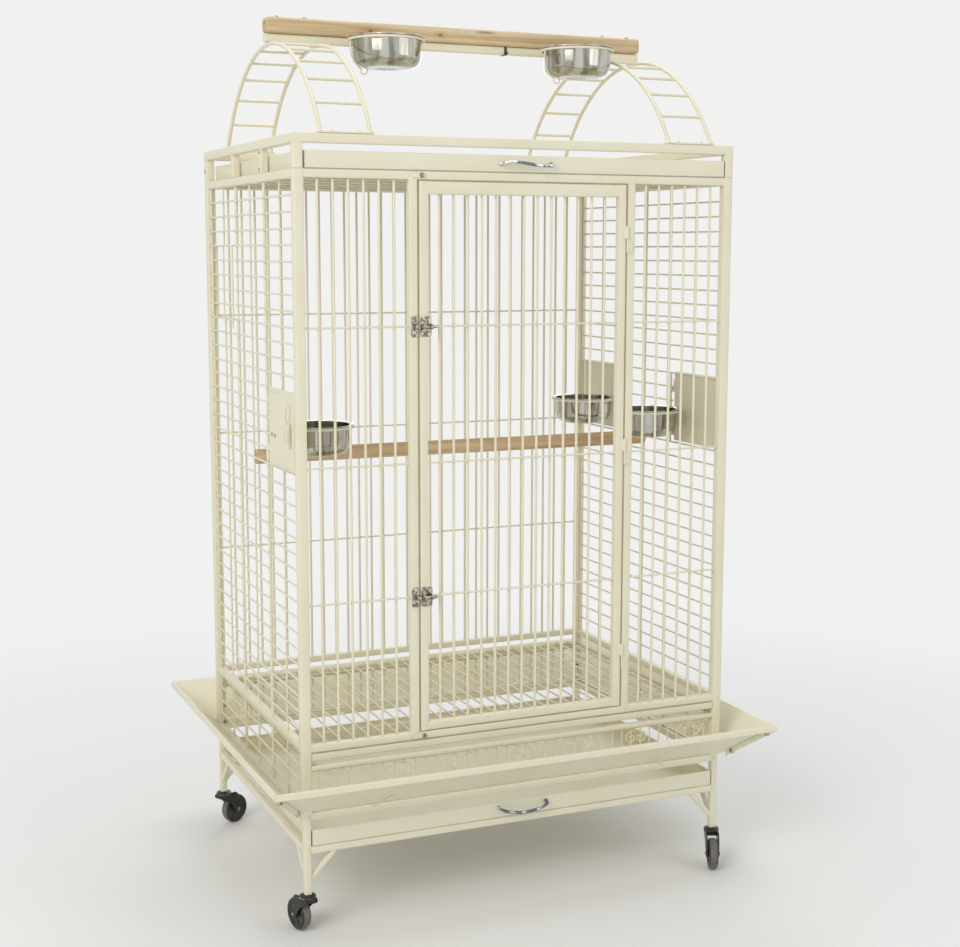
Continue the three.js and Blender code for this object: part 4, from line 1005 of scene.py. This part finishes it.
def spring_latch(form, sign, edge, toward, top):
    """A sliding wire bolt with its coil, held to the feeder plate by two eyes."""
    x, y = sign * (HALF_X + 0.0034), edge + toward * 0.002
    for height in (top, top - 0.036):
        bar(form, (x, sign * (HALF_X - 0.001)), around(y, 0.0035), around(height, 0.001), 0.0008)
        lathe(form, mm(3.4, -1, 3.8, 0, 3.4, 1), (x, y, height), segments=20)
    rod(form, x, y, (top + 0.004, top - 0.040), 0.0015)
    steps = 12 * COIL_TURNS
    turns = arc((x, y), 0.0028, 0, 360 * COIL_TURNS, steps)
    sweep(form, [(u, v, top - 0.004 - 0.028 * i / steps) for i, (u, v) in enumerate(turns)], 0.0007, 6)
    hook = [(x + sign * out, y + toward * along, top - down) for out, along, down in HOOK]
    sweep(form, smooth(hook, 5), 0.0013, 8)


def feeders():
    for name, (sign, hinge, toward, bowl_y) in FEEDERS.items():
        node = f"feeder_door_{name}"
        far, near = -toward * FEEDER_FAR, hinge - toward * LEAF_GAP
        deep = mirrored(1, far, near)
        form = Form()
        plate(form, under(HALF_X, sign, 0.0005, SHEET), deep, FEEDER_UP, 0, 0.004)
        swell = under(HALF_X, sign, -0.0008, 0.002)
        inner_deep, inner_up = shrunk(deep, FEEDER_SWELL_IN), shrunk(FEEDER_UP, FEEDER_SWELL_IN)
        for z in inner_up:
            bar(form, swell, inner_deep, around(z, 0.0015), 0.0009)
        for y in inner_deep:
            bar(form, swell, around(y, 0.0015), inner_up, 0.0009)
        knuckles(form, sign, hinge, FEEDER_ROWS, near - toward * 0.010, (-0.0001, 0.0017))
        x, y, low = sign * FEEDER_BOWL_X, -toward * bowl_y, FEEDER_RING_LOW
        middle = low + RING_WIRE / 2
        flat_ring(form, (x, y, low), FEEDER_BOWL)
        arm = x + sign * (FEEDER_BOWL - RING_IN + RING_WIRE / 2)
        wire(form, (arm, y, middle), (sign * (HALF_X - 0.002), y, middle), 0.0025)
        plate(form, under(HALF_X, sign, 0.002, 0.002), around(y, 0.013), around(low, 0.022), 0, 0.003)
        grip_y = far + toward * 0.015
        height = sum(FEEDER_UP) / 2 + GRIP_RISE
        grip = [(sign * (HALF_X + out), grip_y, height + share * (GRIP_HALF - 0.002)) for out, share in GRIP]
        sweep(form, smooth(grip, 6), 0.002, 10, side=(0, 1, 0))
        spring_latch(form, sign, grip_y, toward, height - GRIP_HALF - 0.006)
        dress(node, "plate", form)
        bolts = Form()
        for shift in (-0.010, 0.010):
            hexagon(bolts, (sign * (HALF_X - 0.0005), y + shift, low - 0.010), (sign, 0, 0), 0.0036, 0.0022)
        trim(node, "bolts", bolts)
        make_bowl(f"feeder_bowl_{name}", FEEDER_BOWL)


def nest_door():
    form = Form()
    _, _, (foot, _) = spans_of("nest_door")
    x_out, x_in = -HALF_X - 0.0017, -HALF_X + 0.0012
    deep = (NEST_FAR, NEST_HINGE - LEAF_GAP)
    up = (row_height(NEST_ROWS[0]) - 0.002, row_height(NEST_ROWS[1]) + 0.002)
    ring = corners(shrunk(deep, NEST_WIRE), shrunk(up, NEST_WIRE))
    loop = []
    for (y, z), (next_y, next_z) in zip(ring, ring[1:] + ring[:1]):
        for share in (0.05, 0.35, 0.65, 0.95):
            loop.append((x_out, between((y, next_y), share), between((z, next_z), share)))
    sweep(form, smooth(loop, 3, closed=True), NEST_WIRE, 10, closed=True, side=(1, 0, 0))
    for row in range(NEST_ROWS[1] + 1, NEST_ROWS[0]):
        rod(form, x_out, deep, row_height(row), NEST_WIRE)
    rod(form, x_in, sum(deep) / 2, up, NEST_WIRE)
    knuckles(form, -1, NEST_HINGE, NEST_ROWS, deep[1] - 0.002, (-0.0025, 0.002))
    tab = (NEST_FAR + 0.0005, NEST_FAR + 0.009)
    plate(form, under(HALF_X, -1, -0.0026, 0.002), tab, (foot, up[0] + 0.002), 0, 0.002)
    dress("nest_door", "wires", form)


# Front door
DOOR_BARS = 13
PIN_Y = FRONT - GAP - 0.009
PLATE_Y = (FRONT - GAP - SHEET, FRONT - GAP)
LATCH_HALF = 0.019
EAR_RADIUS = 0.0055
EAR_HOLE = 0.0034
KEEPER_X = (-0.2355, -0.2215)
KNOB_X = -0.2006


def front_door():
    form = Form()
    inner = DOOR_HALF_X - RAIL
    deep = under(HALF_Y, -1, 0)
    clear = (DOOR_UP[0] + RAIL, DOOR_UP[1] - DOOR_TOP_RAIL)
    for sign in BOTH:
        bar(form, mirrored(sign, inner, DOOR_HALF_X), deep, DOOR_UP)
        for height in clear:
            seam(form, sign * inner, deep, height)
    for up in ((DOOR_UP[0] + GAP, clear[0]), (clear[1], DOOR_UP[1] - GAP)):
        bar(form, around(0, inner + TENON), shrunk(deep, GAP), up)
    grille_bars(form, around(0, inner), shrunk(clear, -LAP), DOOR_BARS, FRONT + BAR_IN, FRONT + ROD_IN, LAP)
    door_hinges(form, 0, inner + 0.008)
    dress("front_door", "tubes", form)


def ear(form, across, z):
    """A pressed eye that stands off a latch plate and holds the bolt."""
    foot = PLATE_Y[0] + 0.0004
    outline = []
    for radius in (EAR_RADIUS, EAR_HOLE):
        bow = [(z + radius, foot)] + arc((z, PIN_Y), radius, 0, -180, 16) + [(z - radius, foot)]
        outline += bow[::-1] if outline else bow
    form.loft([[(x, y, height) for height, y in outline] for x in across], folded=True)


def latches():
    for name, z in (("lower", ROD_HEIGHTS[0]), ("upper", ROD_HEIGHTS[2])):
        wide, _, _ = spans_of(f"latch_base_{name}")
        base_ears = ((wide[0] + 0.0012, wide[0] + 0.0046), (wide[1] - 0.0046, wide[1] - 0.0012))
        halves = {
            "keeper": (KEEPER_X, ((KEEPER_X[1] - 0.0034, KEEPER_X[1]),), sum(KEEPER_X) / 2),
            "base": (wide, base_ears, sum(wide) / 2),
        }
        for half, (across, ears, middle) in halves.items():
            form = Form()
            plate(form, across, PLATE_Y, around(z, LATCH_HALF), 1, 0.0035)
            for span in ears:
                ear(form, span, z)
            for height in around(z, 0.0125):
                screw(form, (middle, PLATE_Y[0], height), (0, -1, 0), 0.0042, 0.0018)
            dress(f"latch_{half}_{name}", "plate", form)
        bolt = Form()
        (start, end), _, _ = spans_of(f"latch_bolt_{name}")
        pin = ((0.0018, 0), (0.003, 0.0012), (0.003, end - start - 0.001), (0.0022, end - start))
        lathe(bolt, pin, (start, PIN_Y, z), (1, 0, 0), 20)
        knob = mm(1.6, 0, 1.6, 6.5, 2.4, 7.5, 3, 9, 3, 11.5, 2.1, 13)
        lathe(bolt, knob, (KNOB_X, PIN_Y, z), (0, -1, 0), 20)
        dress(f"latch_bolt_{name}", "pin", bolt)


def turn_buttons():
    for node in ("turn_button_upper", "turn_button_lower"):
        across, _, up = spans_of(node)
        z, x = sum(up) / 2, across[1] - 0.005
        form, head = Form(), Form()
        plate(form, (across[0], x + 0.004), PLATE_Y, around(z, 0.0045), 1, 0.004)
        dress(node, "tab", form)
        screw(head, (x, PLATE_Y[0] + 0.0002, z), (0, -1, 0), 0.0048, 0.003)
        trim(node, "screw", head)


# Trays and handles
HEM = 0.0022
HANDLE_SPAN = 0.104
HANDLE_OUT = 0.017
# Points of the handles: along as a share of the span, out and up as shares of HANDLE_OUT.
WAVE_SHARES = (
    (-0.5, 0.35, 0), (-0.44, 0.9, 0.09), (-0.25, 1, 0.18), (0, 1, 0), (0.25, 1, -0.18), (0.44, 0.9, -0.09),
    (0.5, 0.35, 0),
)
BOW_SHARES = (
    (-0.5, 0.35, 0.3), (-0.44, 0.85, 0.15), (-0.25, 1, -0.15), (0, 1, -0.3), (0.25, 1, -0.15),
    (0.44, 0.85, 0.15), (0.5, 0.35, 0.3),
)
HANDLES = {"top_tray": (WAVE_SHARES, 1.4523), "bottom_tray": (BOW_SHARES, 0.1903)}


def tray(node):
    """A folded sheet tray with a hemmed rim."""
    across, along, up = spans_of(node)
    form = Form()
    plate(form, across, along, (up[0], up[0] + SHEET), 2, 0.002)
    wall = (up[0], up[1] - 0.0005)
    for y in (along[0], along[1] - SHEET):
        bar(form, across, (y, y + SHEET), wall, 0.0007)
    for x in (across[0], across[1] - SHEET):
        bar(form, (x, x + SHEET), along, wall, 0.0007)
    rim = [(x, y, up[1] - HEM) for x, y in corners(shrunk(across, HEM), shrunk(along, HEM))]
    for start, end in zip(rim, rim[1:] + rim[:1]):
        wire(form, start, end, HEM)
    dress(node, "pan", form)


def handle(node, shares, face, z):
    form = Form()
    foot = face - GAP
    grip = [(x * HANDLE_SPAN, foot - out * HANDLE_OUT, z + rise * HANDLE_OUT) for x, out, rise in shares]
    ends = [(x, foot, height) for x, _, height in (grip[0], grip[-1])]
    sweep(form, smooth(ends[:1] + grip + ends[1:], 10), 0.003, 16, side=(0, 0, 1))
    for end in ends:
        lathe(form, mm(4.6, 0, 4.6, 1.2, 4, 2, 3.2, 3), end, (0, -1, 0), 28)
    dress(node, "bar", form, smooth_angle=60)


# Stand and skirts
STAND_X = HALF_X - 0.003
STAND_Y = HALF_Y - 0.003
LEG = 0.014
LEG_FOOT = 0.080
LOW_RAIL = 0.160
STAND_TOP = 0.240
BRACE_FOOT = 0.110
BRACE_RUN = 0.046
BRACE_HALF = 0.0045
# Each skirt's reach and half length at the body, what it adds to both, and how its frame lies in the cage's.
SKIRTS = {
    "skirt_front": (HALF_Y, HALF_X, 0.092, 0.080, lambda a, d, z: (a, -d, z)),
    "skirt_back": (HALF_Y, HALF_X, 0.092, 0.080, lambda a, d, z: (a, d, z)),
    "skirt_left": (HALF_X, HALF_Y, 0.080, 0.092, lambda a, d, z: (-d, a, z)),
    "skirt_right": (HALF_X, HALF_Y, 0.080, 0.092, lambda a, d, z: (d, a, z)),
}
SKIRT_UP = (0.2422, 0.3196)
SKIRT_LIP = 0.013
SKIRT_BEND = 0.003
SKIRT_FLANGE = 0.011
SKIRT_SHEET = 0.0018
SKIRT_START = 0.09
SKIRT_END_GAP = 0.0004
STRAP_SPAN = (-0.035, 0.32)
STRAP_PLACE = 0.66
STRAP_LEAN = 0.013


def brace(form, sign, inner, spread, place):
    """A slanted strut from a leg up to the low rail, with a weld at its foot."""
    rings = []
    for reach, height in ((inner + 0.003, BRACE_FOOT - 0.003), (inner - BRACE_RUN - 0.003, LOW_RAIL + 0.003)):
        section = [(u / math.sqrt(2), v) for u, v in rounded(around(0, BRACE_HALF), spread, 0.0015)]
        rings.append([place(sign * (reach + slant), v, height + slant) for slant, v in section])
    form.loft(rings)
    weld(form, *[place(sign * inner, v, BRACE_FOOT + 0.006) for v in spread])


def stand():
    form, screws = Form(), Form()
    inner_x, inner_y = STAND_X - LEG, STAND_Y - LEG
    for sx in BOTH:
        wide = mirrored(sx, inner_x, STAND_X)
        for sy in BOTH:
            deep = mirrored(sy, inner_y, STAND_Y)
            bar(form, wide, deep, (LEG_FOOT, STAND_TOP), end=0.0006)
            brace(form, sx, inner_x, shrunk(deep, 0.0025), lambda a, v, z: (a, v, z))
            brace(form, sy, inner_y, shrunk(wide, 0.0025), lambda a, v, z: (v, a, z))
            for height in (0.164, 0.182):
                screw(screws, (sx * STAND_X, sy * (STAND_Y - LEG / 2), height), (sx, 0, 0), 0.003, 0.0013)
        for up in ((LOW_RAIL, LOW_RAIL + LEG), (STAND_TOP - LEG, STAND_TOP)):
            bar(form, wide, around(0, inner_y + TENON), up)
            bar(form, around(0, inner_x + TENON), mirrored(sx, inner_y, STAND_Y), up)
    dress("stand", "tubes", form)
    trim("stand", "screws", screws, "cream_coat")


def skirts():
    """Each skirt in its own frame: along the body, away from it and up."""
    for node, (reach, along, out, along_out, place) in SKIRTS.items():
        run = (reach + GAP, reach + out)
        near, far = run
        low, high = SKIRT_UP
        slope = math.atan2(high - low, far - near)

        def end(distance):
            return along + along_out * (distance - reach) / out - SKIRT_END_GAP

        def rise(distance):
            return low + (high - low) * (distance - near) / (far - near)

        start = SKIRT_START if node == "skirt_front" else 0
        bend = (far - SKIRT_SHEET / 2 - SKIRT_BEND, high - SKIRT_SHEET / 2 - SKIRT_BEND * 1.2)
        path = [(between(run, start), between(SKIRT_UP, start))]
        path += arc(bend, SKIRT_BEND, 90 + math.degrees(slope), 0, 8)
        path.append((far - SKIRT_SHEET / 2, high - SKIRT_LIP))
        outline = ribbon(path, SKIRT_SHEET)
        form, nuts = Form(), Form()
        form.loft([[place(sign * end(d), d, z) for d, z in outline] for sign in BOTH])
        hem = [place(sign * (end(far) - 0.004), far - 0.0028, high - SKIRT_LIP + 0.0016) for sign in BOTH]
        wire(form, *hem, 0.0016)
        for sign in BOTH:
            strap = []
            for share, off in corners(STRAP_SPAN, (0.0004, 0.0024)):
                across = sign * (along * STRAP_PLACE + (STRAP_LEAN if share < 0 else -STRAP_LEAN))
                d = between(run, share) + off * math.sin(slope)
                strap.append((across, d, between(SKIRT_UP, share) - off * math.cos(slope)))
            form.loft([[place(across + side, d, z) for across, d, z in strap] for side in (-0.003, 0.003)])
        flange = (near + SKIRT_FLANGE, far - 0.002)
        edge = [(d, rise(d) - 0.0012 - drop) for d, drop in corners(flange, (0, SKIRT_FLANGE))]
        for sign in BOTH:
            form.loft([[place(sign * (end(d) - back), d, z) for d, z in edge] for back in (0.0008, 0.0023)])
            inward = Vector(place(-sign * out, along_out, 0)).normalized()
            for share in (0.12, 0.84):
                d = between(flange, share)
                centre = Vector(place(sign * (end(d) - 0.0023), d, rise(d) - 0.0072))
                hexagon(nuts, centre, inward, 0.0045, 0.003)
                head = centre - inward * 0.0016
                lathe(nuts, mm(6.4, 0, 6.4, 0.6, 5.6, 1), head, -inward, 24)
                lathe(nuts, mm(4.2, 0.8, 4, 2.2, 2.6, 3.4, 0.6, 3.8), head, -inward, 24)
        dress(node, "sheet", form)
        trim(node, "nuts", nuts)


# Casters
CASTERS = {"front_left": 105, "front_right": -115, "back_left": 27, "back_right": 60}
TRAIL = 0.031
WHEEL_RADIUS = 0.032
HUB = (TRAIL, 0, WHEEL_RADIUS)
RACE_BALLS = 16
SPOKES = 6
UPPER_RACE = mm(15, 75.2, 15.8, 75.8, 15.8, 77.6, 12.8, 78.5, 11.5, 79.7)
LOWER_RACE = mm(12, 70, 15.8, 70.5, 15.8, 72.2, 14, 72.8, 14, 75.2)
BALL = mm(0.4, -1.6, 1.3, -1, 1.6, 0, 1.3, 1, 0.4, 1.6)
CHEEK = mm(37.5, 44, 34, 56, 32, 66, 29, 71.5, 23, 74.5, 12, 74.8, -10, 73.8, -14.5, 71, -15.5, 66.5)
CHEEK += mm(-12.5, 63, 2, 56, 14, 45)
CHEEK_MIDDLE = (TRAIL * 0.55, 0.056)
TYRE = mm(26, 7.2, 30.4, 7, 31.5, 5.5, 32, 2.5)
DISC = mm(4.6, 10, 8, 10, 9.2, 9, 11, 8.2, 22, 8, 24.2, 9.4, 28.2, 9.2, 30.1, 8, 30.3, 6.6)


def caster_fork():
    """The fork in its own frame: the stem stands on the origin and the wheel trails along +X."""
    form = Form()
    lathe(form, UPPER_RACE, segments=40)
    lathe(form, LOWER_RACE, segments=40)
    outline = arc((TRAIL, WHEEL_RADIUS), 0.0085, -160, 15, 12) + CHEEK
    for side in BOTH:
        rings = []
        for y, inset in ((0.0109, 0), (0.0128, 0), (0.0137, 0.035)):
            pulled = [[between(pair, inset) for pair in zip(point, CHEEK_MIDDLE)] for point in outline]
            rings.append([(x, side * y, z) for x, z in pulled])
        form.loft(rings)
    crown = rounded((-0.0155, 0.0195), around(0, 0.0125), 0.006)
    form.loft([[(x, y, z) for x, y in crown] for z in (0.0664, 0.0715)])
    return form


def turned(half, segments):
    """A wheel's ring from half of its (radius, height) outline."""
    form = Form()
    lathe(form, [(r, -h) for r, h in half] + half[::-1], HUB, (0, 1, 0), segments, closed=True)
    return form


def casters():
    for name, heading in CASTERS.items():
        sx = -1 if name.endswith("left") else 1
        sy = -1 if name.startswith("front") else 1
        place = Matrix.Translation((sx * (STAND_X - LEG / 2), sy * (STAND_Y - LEG / 2), 0))
        place = place @ Matrix.Rotation(math.radians(heading), 4, "Z")
        fork, wheel = f"caster_fork_{name}", f"caster_wheel_{name}"
        dress(fork, "housing", caster_fork().moved(place))
        shine = Form()
        for x, y in arc((0, 0), 0.0148, 0, 360, RACE_BALLS)[:-1]:
            lathe(shine, BALL, (x, y, 0.074), segments=10)
        for side in BOTH:
            cap = (TRAIL, side * 0.0134, WHEEL_RADIUS)
            hexagon(shine, cap, (0, side, 0), 0.004, 0.0018)
            lathe(shine, mm(1.8, 0, 1.7, 2.6, 1, 3.1), cap, (0, side, 0), 16)
        rod(shine, TRAIL, around(0, 0.0138), WHEEL_RADIUS, 0.0036, 16)
        trim(fork, "metal", shine.moved(place))
        dress(wheel, "tyre", turned(TYRE, 64).moved(place))
        core = turned(DISC, 56)
        rings = [arc((TRAIL, WHEEL_RADIUS), radius, 0, 360, SPOKES)[:-1] for radius in (0.0095, 0.0235)]
        for spoke in zip(*rings):
            for y in (-0.0082, 0.0082):
                wire(core, *[(x, y, z) for x, z in spoke], 0.0012, 8)
        trim(wheel, "core", core.moved(place), "caster_black")


top_frame()
front_frame()
front_grilles()
back_panel()
side_panels()
scroll_panel()
grids()
ladders()
play_perch()
play_bowls()
feeders()
nest_door()
front_door()
latches()
turn_buttons()
for tray_node in HANDLES:
    tray(tray_node)
for tray_node, (points, height) in HANDLES.items():
    handle(f"{tray_node}_handle", points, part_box(tray_node)[0].y, height)
stand()
skirts()
casters()


# Floor, light and camera. The floor turns into the plain backdrop between the two distances.
BACKDROP = (0.88, 0.88, 0.875)
FADE = (0.9, 2.4)
FLOOR_REACH = 30
TARGET = Vector((0, 0, 0.85))
# The camera as solved from the straight edges of the body in the photo.
CAMERA_PLACE = (-1.2929, -3.0625, 1.2904)
CAMERA_TURNS = (81.966, -0.075, -23.625)
CAMERA_LENS = 59.13
CAMERA_SENSOR = 36
# Each lamp's place, size, power and colour.
LAMPS = {
    "key": ((-3.4, -2.6, 3.0), 2.4, 92, (1.0, 0.985, 0.96)),
    "fill": ((2.6, -3.6, 2.0), 2.6, 26, (1.0, 0.99, 0.97)),
    "top": ((0.3, 0.4, 4.2), 2.2, 34, (1.0, 1.0, 1.0)),
    "back": ((1.6, 3.4, 2.6), 2.2, 30, (0.97, 0.98, 1.0)),
}


def sight(tree):
    """1 for rays that show the backdrop: from the camera, off metal or through glass."""
    rays = tree.nodes.new("ShaderNodeLightPath").outputs
    inputs = {0: rays["Is Camera Ray"], 1: rays["Is Glossy Ray"]}
    both = socket_node(tree, "Math", inputs, operation="MAXIMUM").outputs[0]
    inputs = {0: both, 1: rays["Is Transmission Ray"]}
    return socket_node(tree, "Math", inputs, operation="MAXIMUM").outputs[0]


def backdrop_floor():
    floor = Surface("studio_floor")
    fill(floor.tree, floor.shader, {"Roughness": 0.9, "Specular IOR Level": 0.1, "Base Color": BACKDROP})
    distance = floor.made("VectorMath", {0: floor.place}, "Value", operation="LENGTH")
    glow = floor.made("Emission", {"Color": BACKDROP})
    plain = floor.shader.outputs[0]
    faded = floor.made("MixShader", {0: floor.span(distance, 0, 1, *FADE), 1: plain, 2: glow})
    shown = floor.made("MixShader", {0: sight(floor.tree), 1: plain, 2: faded})
    floor.tree.links.new(shown, floor.tree.nodes["Material Output"].inputs["Surface"])
    sheet = bpy.data.meshes.new("floor")
    reach = around(0, FLOOR_REACH)
    sheet.from_pydata([(x, y, 0) for x, y in corners(reach, reach)], [], [(0, 1, 2, 3)])
    sheet.materials.append(floor.material)
    ground = linked("floor", sheet)


def studio():
    backdrop_floor()
    world = bpy.data.worlds.new("studio")
    bpy.context.scene.world = world
    world.use_nodes = True
    tree = world.node_tree
    ambient = tree.nodes["Background"]
    fill(tree, ambient, {"Color": (0.97, 0.985, 1.0), "Strength": 0.5})
    shown = socket_node(tree, "Background", {"Color": BACKDROP, "Strength": 1.0}).outputs[0]
    chosen = socket_node(tree, "MixShader", {0: sight(tree), 1: ambient.outputs[0], 2: shown}).outputs[0]
    tree.links.new(chosen, tree.nodes["World Output"].inputs["Surface"])
    for name, (place, size, power, color) in LAMPS.items():
        light = bpy.data.lights.new(name, "AREA")
        light.size = size
        light.energy = power
        light.color = color
        lamp = linked(name, light)
        lamp.location = place
        lamp.rotation_euler = (TARGET - Vector(place)).to_track_quat("-Z", "Y").to_euler()
    camera = linked("camera", bpy.data.cameras.new("camera"))
    camera.data.sensor_width = CAMERA_SENSOR
    camera.data.lens = CAMERA_LENS
    camera.location = CAMERA_PLACE
    camera.rotation_euler = [math.radians(turn) for turn in CAMERA_TURNS]
    bpy.context.scene.camera = camera
    bpy.context.scene.view_settings.view_transform = "Standard"


studio()
